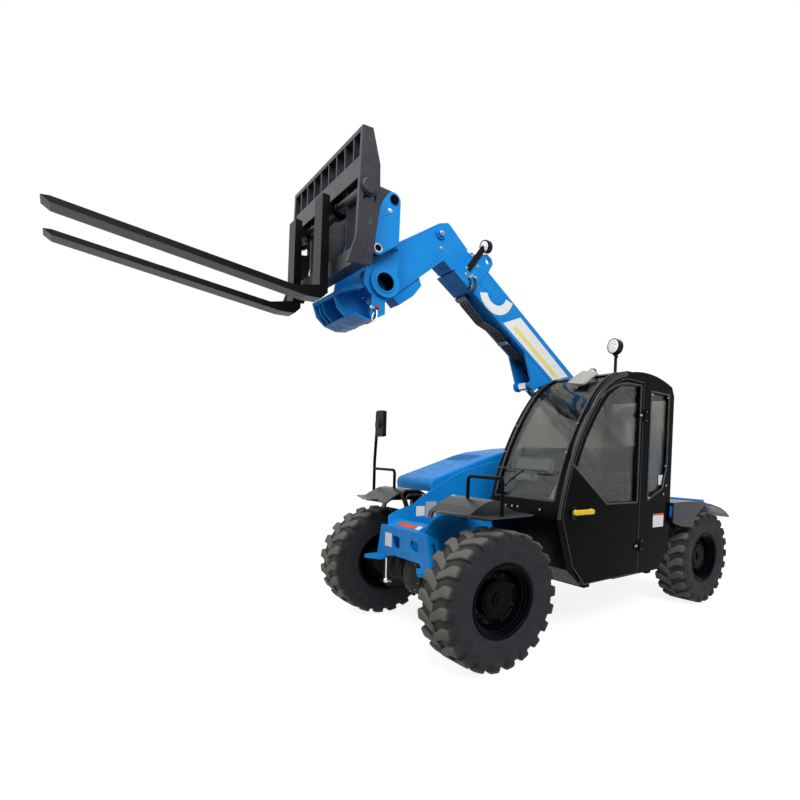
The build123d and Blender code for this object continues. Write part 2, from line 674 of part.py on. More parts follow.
def gooseneck():
    back = [boomFrame.from_local_coords((645, 0, n)) for n in (112, -112)]
    outline = [(1150, 2885), (1075, 2915), (back[0].X, back[0].Z), (back[1].X, back[1].Z), (1110, 2640),
               (1540, 2235), (1690, 2235), (1700, 2380), (1470, 2640)]
    neck = slab(outline, boomCentreY - 90, boomCentreY + 90, {0: 60, 1: 30})
    neck -= slab([(1130, 2790), (1430, 2560), (1400, 2440), (1150, 2660)], boomCentreY - 78, boomCentreY + 78)
    neck += crossPin(*toolPivot, 88, boomCentreY - 215, boomCentreY + 215)
    neck += crossPin(*toolPivot, pivotTubeRadius, boomCentreY - 268, boomCentreY + 268)
    neck -= crossPin(*toolPivot, pivotTubeRadius - 12, boomCentreY + 150, boomCentreY + 300)
    neck -= crossPin(*toolPivot, pivotTubeRadius - 12, boomCentreY - 300, boomCentreY - 150)
    # bolt boss on each side near the step
    for side in sides.values():
        low, high = sorted((side * 88, side * 104))
        neck += crossPin(1142, 2812, 34, boomCentreY + low, boomCentreY + high)
        low, high = sorted((side * 100, side * 118))
        neck += crossPin(1142, 2812, 20, boomCentreY + low, boomCentreY + high)
    # housing under the neck, with its open end
    box = slab([(1290, 2475), (1480, 2297), (1430, 2250), (1330, 2335), (1270, 2420)], -140, -20)
    neck += box
    return neck


def boomLines():
    """Four steel lines under the boom, held by clamps, that swing aside before they enter the collar."""
    lines = None
    bottom = -outerHeight / 2
    for index in range(4):
        y = -54 + 32 * index
        route = [(-1480, y, bottom - 17), (90, y, bottom - 17), (200, y - 34, bottom - 32),
                 (outerFront - 225, y - 20, bottom - 32), (outerFront - 178, y - 20, bottom - 14)]
        line = boomFrame * bentTube(route, 24, lineRadius)
        lines = line if lines is None else lines + line
    for s in (-1400, -950, -60):
        lines += onBoom(s, s + 36, -70, 58, bottom - 28, bottom)
    return lines + onBoom(outerFront - 200, outerFront - 165.3, -92, 42, bottom - 34, bottom)


def boomLamp():
    """A round work lamp on a flat bracket at the collar's left side."""
    side = outerWidth / 2 + 8
    bracket = onBoom(outerFront - 66, outerFront - 26, side, side + 10, -20, 222)
    centre = boomFrame.from_local_coords((outerFront - 57, side + 8, 240))
    return bracket + Plane(origin=centre, z_dir=(0.97, 0.2, -0.12)) * Cylinder(46, 36)


# ---------------------------------------------------------------- lift cylinder

liftAngle = math.degrees(math.atan2(liftUpperPin[1] - liftLowerPin[1], liftUpperPin[0] - liftLowerPin[0]))
liftLength = math.dist(liftLowerPin, liftUpperPin)


def onLift(distance):
    dx, dz = along(liftAngle, distance)
    return (liftLowerPin[0] + dx, boomCentreY, liftLowerPin[1] + dz)


def liftBarrel():
    body = bar(onLift(75), onLift(1230), 52) + bar(onLift(0), onLift(80), 38)
    body += crossPin(*liftLowerPin, 48, boomCentreY - 45, boomCentreY + 45)
    body -= bar(onLift(100), onLift(1240), 43)
    body += bar(onLift(1150), onLift(1230), 58)
    body -= bar(onLift(1140), onLift(1240), 30.05)
    return body - crossPin(*liftLowerPin, 25.05, boomCentreY - 50, boomCentreY + 50)


def liftRod():
    rod = bar(onLift(760), onLift(liftLength), 30)
    rod += bar(onLift(700), onLift(760), 42.95)
    rod += crossPin(*liftUpperPin, 40, boomCentreY - 45, boomCentreY + 45)
    return rod - crossPin(*liftUpperPin, 25, boomCentreY - 50, boomCentreY + 50)


# ---------------------------------------------------------------- coupler, carriage and forks

def coupler():
    """Two side plates on the neck's cross tube, joined by a front bar, a ribbed skirt and a round rib."""
    outline = [(1530, 2300), (1570, 2225), (1706, 2225), (1745, 2275), (1730, 2360), (1712, 2480), (1632, 2800),
               (1600, 2858), (1545, 2840), (1528, 2780), (1528, 2540)]
    skirt = [(1735, 2268), (1868, 2215), (1842, 2130), (1790, 2082), (1715, 2062), (1650, 2072), (1600, 2110),
             (1600, 2185), (1660, 2195), (1712, 2235)]
    near, far = 120, -345
    body = None
    for y in (far, near):
        plate = slab(outline, y, y + 25, {5: 60, 8: 25})
        plate += crossPin(*toolPivot, 98, y, y + 25)
        body = plate if body is None else body + plate
    body += slab(skirt, far, far + 25)
    for y in (-268, -206, -6):
        body += slab(skirt, y, y + 12)
    body += slab([(1690, 2240), (1606, 2240), (1606, 2116), (1634, 2098), (1679, 2082), (1700, 2090)],
                 near, near + 25, {3: 15, 4: 15})
    # front bar and bottom plate across the ribs
    body += slab([(1735, 2280), (1868, 2215), (1858, 2195), (1725, 2258)], far, near + 10)
    body += slab([(1790, 2082), (1715, 2062), (1662, 2070), (1664, 2082), (1714, 2074), (1786, 2094)],
                 far, near + 10)
    # pins that the carriage hangs and locks on
    for y0, y1 in ((-415, -330), (130, 215)):
        body += crossPin(*hookPin, 30, y0, y1)
        body += crossPin(*lockPin, 22, y0 + 10, y1 - 10)
    for y0, y1 in ((-372, far), (near + 25, near + 47)):
        body += crossPin(*hookPin, 58, y0, y1)
        body += crossPin(*lockPin, 36, y0, y1)
        body += crossPin(*toolPivot, 92, y0, y1)
    # round rib from the lock pin back along each plate
    for y in (far - 4, near + 29):
        body += bar((lockPin[0], y, lockPin[1]), (1540, y, 2540), 13)
    return body - crossPin(*toolPivot, pivotTubeRadius + 0.05, -380, 180)


carriageNear, carriageFar = 440, -640
shaftPoint = (1855, 2690)
sideThick = 25


def wedge(centre, inner, outer, start, end, yLow, yHigh):
    """Part of a flat ring about a point of the side view, between two angles in degrees."""
    steps = 8
    angles = [math.radians(start + (end - start) * i / steps) for i in range(steps + 1)]
    points = [(centre[0] + outer * math.cos(a), centre[1] + outer * math.sin(a)) for a in angles]
    points += [(centre[0] + inner * math.cos(a), centre[1] + inner * math.sin(a)) for a in reversed(angles)]
    return slab(points, yLow, yHigh)


def forkCarriage():
    sideOutline = [(1895, 3000), (1838, 3008), (1794, 2832), (1790, 2600), (1830, 2280), (1960, 2262),
                   (1915, 2412)]
    body = None
    for y in (carriageFar, carriageNear - sideThick):
        plate = slab(sideOutline, y, y + sideThick)
        plate -= wedge(shaftPoint, 50, 86, -150, 10, y - 1, y + sideThick + 1) & block(
            1812, 1885, y - 1, y + sideThick + 1, 2560, 2760)
        body = plate if body is None else body + plate
    for y0, y1 in ((carriageFar - 8, carriageFar), (carriageNear, carriageNear + 8)):
        body += crossPin(*shaftPoint, 48, y0, y1)
    body += block(1870, 1895, carriageFar, carriageNear, 2740, 2850)
    body += block(1840, 1895, carriageFar, carriageNear, 2975, 3000)
    body += block(1830, 1900, carriageFar, carriageNear, 2290, 2380)
    body += block(1848, 1872, carriageFar, carriageNear, 2740, 2762)
    barCount = 9
    for index in range(1, barCount):
        y = carriageFar + (carriageNear - carriageFar) * index / barCount
        body += slab([(1893, 2845), (1893, 2980), (1842, 2980), (1812, 2845)], y - 6, y + 6)
    # hook plates that take the coupler's pins
    hook = [(1870, 2850), (1800, 2850), (1610, 2850), (1550, 2820), (1555, 2760), (1640, 2700), (1650, 2480),
            (1680, 2425), (1750, 2420), (1870, 2290)]
    for y in (-400, 175):
        body += slab(hook, y, y + 20)
    body -= crossPin(*hookPin, 30.05, -500, 300) + crossPin(*lockPin, 22.05, -500, 300)
    body -= crossPin(*shaftPoint, 30.05, carriageFar - 10, carriageNear + 10)
    return body


def forkShaft():
    return crossPin(*shaftPoint, 30, carriageFar - 20, carriageNear + 20)


def fork(y):
    width = 120
    low, high = y - width / 2, y + width / 2
    outline = [(1925, 2180), (1925, 2740), (1965, 2740), (1972, 2215), (2100, 2180), (3060, 2290), (3090, 2285),
               (3060, 2262), (2040, 2135), (1960, 2140)]
    arm = slab(outline, low, high)
    eye = crossPin(*shaftPoint, 50, y - 25, y + 25) - crossPin(*shaftPoint, 30.3, y - 30, y + 30)
    arm += eye
    arm += block(1890, 1930, y - 25, y + 25, 2660, 2720) - crossPin(*shaftPoint, 30.3, y - 30, y + 30)
    return arm


def forks():
    return fork(20) + fork(-445)


# ---------------------------------------------------------------- write every piece

pieces = {
    "chassis_right_plate": chassisRightPlate(),
    "chassis_left_plate": chassisLeftPlate(),
    "chassis_cross_members": chassisCrossMembers(),
    "chassis_front_plate": chassisFrontPlate(),
    "boom_pivot_pin": boomPivotPin(),
    "rear_counterweight": counterweight(),
    "engine_block": engineBlock(),
    "engine_pod": enginePod(),
    "front_axle_beam": axleBeam(frontAxleX),
    "rear_axle_beam": axleBeam(rearAxleX),
    "cab_frame": cabFrame(),
    "cab_windscreen": windscreen(),
    "cab_window_glass": cabWindows() + quarterGlass(),
    "cab_quarter_panel": quarterPanel(),
    "driver_seat": seat(),
    "steering_column": steeringColumn(),
    "front_fenders": frontFender(1) + frontFender(-1),
    "rear_fenders": rearFender(1) + rearFender(-1),
    "hand_rails": handRails(),
    "side_mirror": mirrorHead(),
    "roof_mirror": roofMirror(),
    "roof_lamp": roofLamp(),
    "rear_lamps": rearLamps(),
    "front_hoses": frontHoses(),
    "cab_door": door(),
    "door_glass": doorGlass(),
    "door_handle": doorHandle(),
    "engine_hood": hood(),
    "boom_outer": boomOuter(),
    "boom_lines": boomLines(),
    "boom_inner": boomInner(),
    "boom_gooseneck": gooseneck(),
    "boom_lamp": boomLamp(),
    "lift_cylinder_barrel": liftBarrel(),
    "lift_cylinder_rod": liftRod(),
    "tool_coupler": coupler(),
    "fork_carriage": forkCarriage(),
    "fork_shaft": forkShaft(),
    "pallet_forks": forks(),
}
tyreSolid = tyreShape()
for end, x in axles.items():
    for name, side in sides.items():
        pieces[f"knuckle_{end}_{name}"] = knuckle(x, side)
        pieces[f"rim_{end}_{name}"] = rim(x, side)
        pieces[f"tyre_{end}_{name}"] = Pos(x, side * wheelTrack / 2, axleZ) * tyreSolid

os.makedirs("parts", exist_ok=True)
for name, solid in pieces.items():
    export_step(Pos(-boxCentreX, 0, 0) * solid, f"parts/{name}.step")
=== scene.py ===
import json
import math
import bmesh
import bpy
import numpy as np
from mathutils import Matrix, Vector


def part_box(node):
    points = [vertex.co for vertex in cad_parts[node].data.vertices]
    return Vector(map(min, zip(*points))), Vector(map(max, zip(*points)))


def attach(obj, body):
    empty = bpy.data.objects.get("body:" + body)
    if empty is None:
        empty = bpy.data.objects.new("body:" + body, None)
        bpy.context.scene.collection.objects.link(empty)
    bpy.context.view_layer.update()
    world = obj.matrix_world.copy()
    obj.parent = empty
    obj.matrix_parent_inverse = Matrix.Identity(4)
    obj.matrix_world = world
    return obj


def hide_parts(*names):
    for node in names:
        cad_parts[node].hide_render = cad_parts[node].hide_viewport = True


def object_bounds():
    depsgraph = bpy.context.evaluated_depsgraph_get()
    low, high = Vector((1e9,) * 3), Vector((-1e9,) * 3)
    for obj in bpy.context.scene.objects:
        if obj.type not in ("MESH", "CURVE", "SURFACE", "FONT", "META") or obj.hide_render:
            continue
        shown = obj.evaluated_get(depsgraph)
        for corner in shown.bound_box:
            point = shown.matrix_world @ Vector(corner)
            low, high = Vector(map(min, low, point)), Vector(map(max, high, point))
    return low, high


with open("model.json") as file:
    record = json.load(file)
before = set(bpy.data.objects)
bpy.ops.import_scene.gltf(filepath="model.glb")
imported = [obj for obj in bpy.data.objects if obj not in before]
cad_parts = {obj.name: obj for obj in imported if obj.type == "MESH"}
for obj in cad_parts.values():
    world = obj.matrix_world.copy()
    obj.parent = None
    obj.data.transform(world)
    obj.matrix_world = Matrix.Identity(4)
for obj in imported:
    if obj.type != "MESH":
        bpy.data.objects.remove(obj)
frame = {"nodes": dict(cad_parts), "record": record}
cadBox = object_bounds()
nodes = frame["nodes"]
floorZ = cadBox[0].z

# Lengths are millimetres from the ground point in the middle of the wheelbase:
# x to the front, y to the left, z up.
machine = {
    "boxCentreX": 630,      # the frame's origin lies this far in front of that point
    "axleX": {"front": 1175, "rear": -1175},
    "axleZ": 415,
    "wheelY": 740,
    "boomY": -100,
    "boomLine": (433, 2329),
    "boomAngle": 33.5,
}
xAxis, yAxis, zAxis = (1, 0, 0), (0, 1, 0), (0, 0, 1)
planes = {"xy": (xAxis, yAxis), "xz": (xAxis, zAxis), "yz": (yAxis, zAxis), "backward xz": ((-1, 0, 0), zAxis)}


def place(points):
    # from those millimetres to metres of the frame
    return (np.asarray(points, float) - (machine["boxCentreX"], 0, 0)) / 1000


def boomPlace(points):
    # s runs up the boom, y is measured from the boom's middle, n is square to its top
    s, y, n = np.moveaxis(np.asarray(points, float), -1, 0)
    c, k = math.cos(math.radians(machine["boomAngle"])), math.sin(math.radians(machine["boomAngle"]))
    x0, z0 = machine["boomLine"]
    return np.stack([x0 + s * c - n * k, y + machine["boomY"], z0 + s * k + n * c], -1)


def linear(code, alpha=1.0):
    # colours are written as hex sRGB and turned into the linear values that shaders use
    channels = [int(code[i:i + 2], 16) / 255 for i in (0, 2, 4)]
    return [c / 12.92 if c <= 0.04045 else ((c + 0.055) / 1.055) ** 2.4 for c in channels] + [alpha]


def skin(grid, closedRows=False):
    # a closed solid from a grid of points: each row is a ring, neighbours are joined by quads, and a flat
    # end closes the first and the last ring, or the last ring joins the first
    rows, columns = grid.shape[:2]
    r, c = np.meshgrid(np.arange(rows if closedRows else rows - 1), np.arange(columns), indexing="ij")
    below, beside = (r + 1) % rows, (c + 1) % columns
    quads = np.stack([r * columns + c, r * columns + beside, below * columns + beside, below * columns + c], -1)
    faces = quads.reshape(-1, 4).tolist()
    if not closedRows:
        faces += [list(range(columns)), list(range(rows * columns - 1, (rows - 1) * columns - 1, -1))]
    return grid.reshape(-1, 3), faces


def turned(profile, centre, direction, steps=32, closed=False):
    # a profile of (distance along the axis, radius) turned about the axis through centre
    along, radius = np.asarray(profile, float).T
    a = np.asarray(direction, float) / np.linalg.norm(direction)
    u = np.cross(a, zAxis if abs(a[2]) < 0.9 else xAxis)
    u /= np.linalg.norm(u)
    angle = np.arange(steps) * 2 * math.pi / steps
    ringPoints = np.cos(angle)[:, None] * u + np.sin(angle)[:, None] * np.cross(a, u)
    grid = np.asarray(centre, float) + along[:, None, None] * a + radius[:, None, None] * ringPoints
    return skin(grid, closed)


def smoothPath(points, rounds=3):
    # corners cut at a quarter of each run, again and again, with the ends kept
    points = np.asarray(points, float)
    for _ in range(rounds):
        first, second = points[:-1] * 0.75 + points[1:] * 0.25, points[:-1] * 0.25 + points[1:] * 0.75
        middle = np.stack([first, second], 1).reshape(-1, 3)
        points = np.vstack([points[:1], middle[1:-1], points[-1:]])
    return points


def filled(points, step=18.0):
    # a line divided into short even runs, corners kept
    points = np.asarray(points, float)
    runs = []
    for a, b in zip(points[:-1], points[1:]):
        count = max(2, int(np.linalg.norm(b - a) / step))
        runs.append(a + (b - a) * np.linspace(0, 1, count, endpoint=False)[:, None])
    return np.vstack(runs + [points[-1:]])


def carried(path, outline, upward=zAxis):
    # an outline of (across, up) carried along a path; up stays as near to upward as the path allows
    path, outline = np.asarray(path, float), np.asarray(outline, float)
    ahead = np.gradient(path, axis=0)
    ahead /= np.linalg.norm(ahead, axis=1)[:, None]
    across = np.cross(ahead, upward)
    across /= np.linalg.norm(across, axis=1)[:, None]
    up = np.cross(across, ahead)
    return skin(path[:, None] + outline[None, :, :1] * across[:, None] + outline[None, :, 1:] * up[:, None])


def circle(radius, sides=12):
    angle = np.arange(sides) * 2 * math.pi / sides
    return np.stack([np.cos(angle), np.sin(angle)], 1) * radius


def tube(points, radius, rounds=3, sides=12):
    # a circle carried along a smoothed line; its up follows whichever axis the line leans on least
    line = smoothPath(points, rounds)
    ahead = np.diff(line, axis=0)
    lean = np.abs(ahead / np.linalg.norm(ahead, axis=1)[:, None]).max(0)
    return carried(line, circle(radius, sides), np.eye(3)[lean.argmin()])


def arcThrough(a, b, c, count=16):
    # points along the circle that passes through three points of a plane
    a, b, c = (np.asarray(p, float) for p in (a, b, c))
    centre = np.linalg.solve(2 * np.array([b - a, c - a]), [b @ b - a @ a, c @ c - a @ a])
    start, middle, end = (math.atan2(*(p - centre)[::-1]) for p in (a, b, c))
    middle = start + (middle - start + math.pi) % (2 * math.pi) - math.pi
    end = middle + (end - middle + math.pi) % (2 * math.pi) - math.pi
    angle = np.linspace(start, end, count)
    return centre + np.linalg.norm(a - centre) * np.stack([np.cos(angle), np.sin(angle)], 1)


def slabOf(outline, start, across, up, thick):
    # a flat outline of (across, up) given a thickness along across x up
    outline, across, up = (np.asarray(v, float) for v in (outline, across, up))
    flat = np.asarray(start, float) + outline[:, :1] * across + outline[:, 1:] * up
    return skin(np.stack([flat, flat + thick * np.cross(across, up)]))


def rectangle(width, height, corner=0.0, steps=4):
    # a rectangle about its middle with rounded corners, run round once
    if corner <= 0:
        return np.array([(-width, -height), (width, -height), (width, height), (-width, height)]) / 2
    angle = np.linspace(0, math.pi / 2, steps)
    arc = np.stack([np.cos(angle), np.sin(angle)], 1) * corner
    middle = np.array((width / 2 - corner, height / 2 - corner))
    quarters = []
    for turn, signs in enumerate(((1, 1), (-1, 1), (-1, -1), (1, -1))):
        c, k = round(math.cos(turn * math.pi / 2)), round(math.sin(turn * math.pi / 2))
        quarters.append(signs * middle + arc @ np.array([[c, k], [-k, c]]))
    return np.vstack(quarters)


def panel(size, centre, plane, thick):
    # a rounded rectangle of (width, height, corner) in a named plane, or in one given by two directions
    return slabOf(rectangle(*size), centre, *(planes[plane] if isinstance(plane, str) else plane), thick)


def sideLine(outline, y):
    # points of (x, z) set upright at one distance to the left
    outline = np.asarray(outline, float)
    return np.stack([outline[:, 0], np.full(len(outline), float(y)), outline[:, 1]], -1)


# washer, six-sided head and stub of thread: profiles in units of half the head's width across corners
boltShapes = (([(0, 1.35), (0.22, 1.35), (0.26, 1.25)], 20), ([(0.2, 1), (0.85, 1), (0.98, 0.84)], 6),
              ([(0.9, 0.5), (1.25, 0.5), (1.32, 0.42)], 14))


def bolts(spots, direction, head):
    return [turned(np.array(profile) * head, spot, direction, sides)
            for spot in spots for profile, sides in boltShapes]


# the crease angle of sharp small parts
crease = {"zinc_bolt": 30}


def piece(name, parts, material, body="chassis", bevel=0.0, smooth=None):
    # one object from closed solids given in millimetres, riding on a body
    points, faces, offset = [], [], 0
    for some, quads in parts:
        points.append(some)
        faces += [[i + offset for i in quad] for quad in quads]
        offset += len(some)
    mesh = bpy.data.meshes.new(name)
    mesh.from_pydata(place(np.vstack(points)).tolist(), [], faces)
    work = bmesh.new()
    work.from_mesh(mesh)
    bmesh.ops.recalc_face_normals(work, faces=work.faces)
    work.to_mesh(mesh)
    work.free()
    mesh.shade_smooth()
    mesh.set_sharp_from_angle(angle=math.radians(smooth or crease.get(material, 40)))
    thing = bpy.data.objects.new(name, mesh)
    bpy.context.scene.collection.objects.link(thing)
    mesh.materials.append(materials[material])
    if bevel:
        edge = thing.modifiers.new("edge", "BEVEL")
        edge.width, edge.segments, edge.limit_method = bevel / 1000, 2, "ANGLE"
        edge.angle_limit = math.radians(35)
    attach(thing, body)
    return thing


# place in metres, angles in degrees, lens in mm on a 36 mm wide sensor
view = {
    "place": (3.023, 3.112, 1.249),
    "yaw": -134.943,
    "pitch": -1.493,
    "roll": 2.038,
    "lens": 22.393,
    "shift": (-0.195, 0.0925),
}


def makeCamera():
    data = bpy.data.cameras.new("camera")
    data.sensor_width = 36
    data.lens = view["lens"]
    data.shift_x, data.shift_y = view["shift"]
    data.clip_start, data.clip_end = 0.05, 200
    cam = bpy.data.objects.new("camera", data)
    bpy.context.scene.collection.objects.link(cam)
    yaw, pitch, roll = (math.radians(view[k]) for k in ("yaw", "pitch", "roll"))
    ahead = Vector((math.cos(pitch) * math.cos(yaw), math.cos(pitch) * math.sin(yaw), math.sin(pitch)))
    right = ahead.cross(Vector(zAxis)).normalized()
    up = right.cross(ahead)
    turnedRight = right * math.cos(roll) + up * math.sin(roll)
    turnedUp = up * math.cos(roll) - right * math.sin(roll)
    x, y, z = view["place"]
    cam.matrix_world = Matrix((
        (turnedRight.x, turnedUp.x, -ahead.x, x - machine["boxCentreX"] / 1000),
        (turnedRight.y, turnedUp.y, -ahead.y, y),
        (turnedRight.z, turnedUp.z, -ahead.z, z),
        (0, 0, 0, 1)))
    bpy.context.scene.camera = cam


# lamps: place and target in metres, size in metres, power in watts
studio = {
    "world": 0.36,
    "floorGlow": 0.86,
    "floorShade": 0.14,
    "floorSize": 60,
    "lamps": {
        "keyLight": ((2.5, 5.5, 6.5), (0, 0, 1.0), (5, 5), 560),
        "fillLight": ((6.5, -3.0, 4.0), (0, 0, 1.2), (5, 4), 90),
        "backLight": ((-6.0, -1.0, 6.0), (0, 0, 1.2), (5, 4), 90),
    },
}
seenRays = ("Is Camera Ray", "Is Glossy Ray", "Is Transmission Ray")


def makeStage():
    size = studio["floorSize"]
    mesh = bpy.data.meshes.new("floor")
    corners = ((-1, -1), (1, -1), (1, 1), (-1, 1))
    mesh.from_pydata([(a * size, b * size, floorZ) for a, b in corners], [], [(0, 1, 2, 3)])
    floor = bpy.data.objects.new("floor", mesh)
    bpy.context.scene.collection.objects.link(floor)
    mesh.materials.append(makeMaterial("studioFloor", floorLook))
    for name, (spot, target, size, power) in studio["lamps"].items():
        data = bpy.data.lights.new(name, "AREA")
        data.shape = "RECTANGLE"
        data.size, data.size_y = size
        data.energy = power
        lamp = bpy.data.objects.new(name, data)
        bpy.context.scene.collection.objects.link(lamp)
        lamp.location = spot
        lamp.rotation_euler = (Vector(target) - Vector(spot)).to_track_quat("-Z", "Y").to_euler()


def addNode(tree, kind, inputs=None, output=0, stops=(), **settings):
    # adds a shader node with its settings; a socket given as an input is linked, a value is stored;
    # stops are the (position, colour) pairs of a ramp; returns the output asked for
    node = tree.nodes.new("ShaderNode" + kind)
    for name, value in settings.items():
        setattr(node, name, value)
    for name, value in (inputs or {}).items():
        if isinstance(value, bpy.types.NodeSocket):
            tree.links.new(value, node.inputs[name])
        else:
            node.inputs[name].default_value = value
    if stops:
        elements = node.color_ramp.elements
        while len(elements) < len(stops):
            elements.new(0.5)
        for element, (position, colour) in zip(elements, stops):
            element.position = position
            element.color = colour
    return node.outputs[output] if node.outputs else None


def grey(value):
    return (value, value, value, 1)


def millimetres(tree, stretch=(1, 1, 1)):
    # Object coordinates in millimetres, so that pattern scales read as real sizes
    return addNode(tree, "Mapping", {"Vector": addNode(tree, "TexCoord", output="Object"),
                                     "Scale": [1000 * s for s in stretch]})


def mottle(tree, where, size, detail, rough, *stops):
    # noise with patches about size millimetres across, turned into colours or greys by stops
    patches = addNode(tree, "TexNoise", {"Vector": where, "Scale": 1 / size, "Detail": detail, "Roughness": rough})
    return addNode(tree, "ValToRGB", {"Fac": patches}, stops=stops)


def anyRay(tree, names):
    # 1 where the ray is of one of the named sorts
    total = addNode(tree, "LightPath", output=names[0])
    for name in names[1:]:
        total = addNode(tree, "Math", {0: total, 1: addNode(tree, "LightPath", output=name)}, operation="MAXIMUM")
    return total


def makeMaterial(name, recipe, *values):
    material = bpy.data.materials.new(name)
    material.use_nodes = True
    tree = material.node_tree
    tree.nodes.clear()
    addNode(tree, "OutputMaterial", {0: recipe(tree, millimetres(tree), *values)})
    return material


def floorLook(tree, where):
    # matt white studio floor: to the camera and in reflections it glows, so it reads white but keeps shade
    dull = addNode(tree, "BsdfPrincipled", {"Base Color": grey(studio["floorShade"]), "Roughness": 1.0})
    glow = addNode(tree, "Emission", {"Color": linear("ffffff"), "Strength": studio["floorGlow"]})
    worn = mottle(tree, where, 2600, 2, 0.5, (0.3, grey(0.38)), (0.7, grey(0.41)))
    matt = addNode(tree, "BsdfDiffuse", {"Color": worn})
    both = addNode(tree, "AddShader", {0: glow, 1: matt})
    return addNode(tree, "MixShader", {0: anyRay(tree, seenRays), 1: dull, 2: both})


def makeWorld():
    world = bpy.data.worlds.new("world")
    bpy.context.scene.world = world
    world.use_nodes = True
    tree = world.node_tree
    tree.nodes.clear()
    soft, plain = (addNode(tree, "Background", {"Color": linear("ffffff"), "Strength": strength})
                   for strength in (studio["world"], 1.0))
    addNode(tree, "OutputWorld", {0: addNode(tree, "MixShader", {0: anyRay(tree, seenRays), 1: soft, 2: plain})})


def sprayedPaint(tree, where, base, faded, gloss, specular, coat, dusty, dust="8d8a80"):
    # two-pack paint sprayed on steel: a faint orange peel, dull road dust that settles low down and in patches
    shade = mottle(tree, where, 240, 5, 0.5, (0.36, linear(base)), (0.68, linear(faded)))
    height = addNode(tree, "SeparateXYZ", {0: where}, "Z")
    low = addNode(tree, "MapRange", {"Value": height, "From Min": 1500, "From Max": 250,
                                     "To Min": 0.25, "To Max": 1.0})
    speckle = mottle(tree, where, 22, 8, 0.7, (0.45, grey(0)), (0.72, grey(1)))
    cover = addNode(tree, "Math", {0: low, 1: dusty}, operation="MULTIPLY")
    cover = addNode(tree, "Math", {0: cover, 1: speckle}, operation="MULTIPLY")
    peel = addNode(tree, "TexNoise", {"Vector": where, "Scale": 1 / 7, "Detail": 2})
    return addNode(tree, "BsdfPrincipled", {
        "Base Color": addNode(tree, "Mix", {0: cover, 6: shade, 7: linear(dust)}, 2, data_type="RGBA"),
        "Roughness": mottle(tree, where, 70, 4, 0.5, (0.3, grey(gloss)), (0.75, grey(min(1, gloss * 1.5 + 0.06)))),
        "Normal": addNode(tree, "Bump", {"Height": peel, "Distance": 0.12 / 1000, "Strength": 0.5}),
        "Specular IOR Level": specular, "Coat Weight": coat, "Coat Roughness": 0.08})


def roughCasting(tree, where, base, pale):
    # sand-cast iron under thin paint: pebbled by the mould's sand, with dry mud in its hollows
    pits = addNode(tree, "TexNoise", {"Vector": where, "Scale": 1 / 9, "Detail": 6, "Roughness": 0.6})
    return addNode(tree, "BsdfPrincipled", {
        "Base Color": mottle(tree, where, 120, 6, 0.5, (0.42, linear(base)), (0.72, linear(pale))),
        "Roughness": addNode(tree, "ValToRGB", {"Fac": pits}, stops=[(0.3, grey(0.55)), (0.7, grey(0.85))]),
        "Normal": addNode(tree, "Bump", {"Height": pits, "Distance": 1.2 / 1000, "Strength": 0.6}),
        "Specular IOR Level": 0.3})


def wornSteelPaint(tree, where, base, worn, bare, streak, gloss, specular):
    # black paint on rolled steel, scuffed by loads: long grey scrapes and bare specks show through
    scrape = addNode(tree, "TexNoise", {"Vector": millimetres(tree, streak), "Scale": 1 / 14, "Detail": 6,
                                        "Roughness": 0.65})
    paint = mottle(tree, where, 180, 4, 0.5, (0.35, linear(base)), (0.7, linear(worn)))
    wear = addNode(tree, "ValToRGB", {"Fac": scrape}, stops=[(0.6, grey(0)), (0.72, grey(0.5))])
    return addNode(tree, "BsdfPrincipled", {
        "Base Color": addNode(tree, "Mix", {0: wear, 6: paint, 7: linear(bare)}, 2, data_type="RGBA"),
        "Roughness": addNode(tree, "ValToRGB", {"Fac": scrape},
                             stops=[(0.35, grey(gloss)), (0.8, grey(gloss * 0.7))]),
        "Normal": addNode(tree, "Bump", {"Height": scrape, "Distance": 0.3 / 1000, "Strength": 0.4}),
        "Specular IOR Level": specular})


def machinedMetal(tree, where, base, gloss, grain=1.2):
    # turned or plated steel: bright, with the fine rings a lathe leaves and a film of oil
    film = addNode(tree, "TexNoise", {"Vector": where, "Scale": 1 / 30, "Detail": 4})
    darker = [c * 0.8 for c in linear(base)[:3]] + [1]
    rings = addNode(tree, "TexNoise", {"Vector": where, "Scale": 1 / grain, "Detail": 2})
    return addNode(tree, "BsdfPrincipled", {
        "Base Color": addNode(tree, "ValToRGB", {"Fac": film}, stops=[(0.3, linear(base)), (0.8, darker)]),
        "Roughness": addNode(tree, "ValToRGB", {"Fac": film},
                             stops=[(0.3, grey(gloss)), (0.8, grey(gloss * 1.8 + 0.03))]),
        "Normal": addNode(tree, "Bump", {"Height": rings, "Distance": 0.05 / 1000, "Strength": 0.4}),
        "Metallic": 1.0})


def mouldedPolymer(tree, where, base, pale, gloss, grain=1.6, specular=0.4):
    # injection-moulded plastic: an even leather-like grain from the tool, paler where hands rub it
    cells = addNode(tree, "TexVoronoi", {"Vector": where, "Scale": 1 / grain}, "Distance")
    return addNode(tree, "BsdfPrincipled", {
        "Base Color": mottle(tree, where, 60, 4, 0.5, (0.35, linear(base)), (0.75, linear(pale))),
        "Roughness": mottle(tree, where, 25, 3, 0.5, (0.3, grey(gloss)), (0.8, grey(gloss + 0.12))),
        "Normal": addNode(tree, "Bump", {"Height": cells, "Distance": 0.08 / 1000, "Strength": 0.5}),
        "Specular IOR Level": specular})


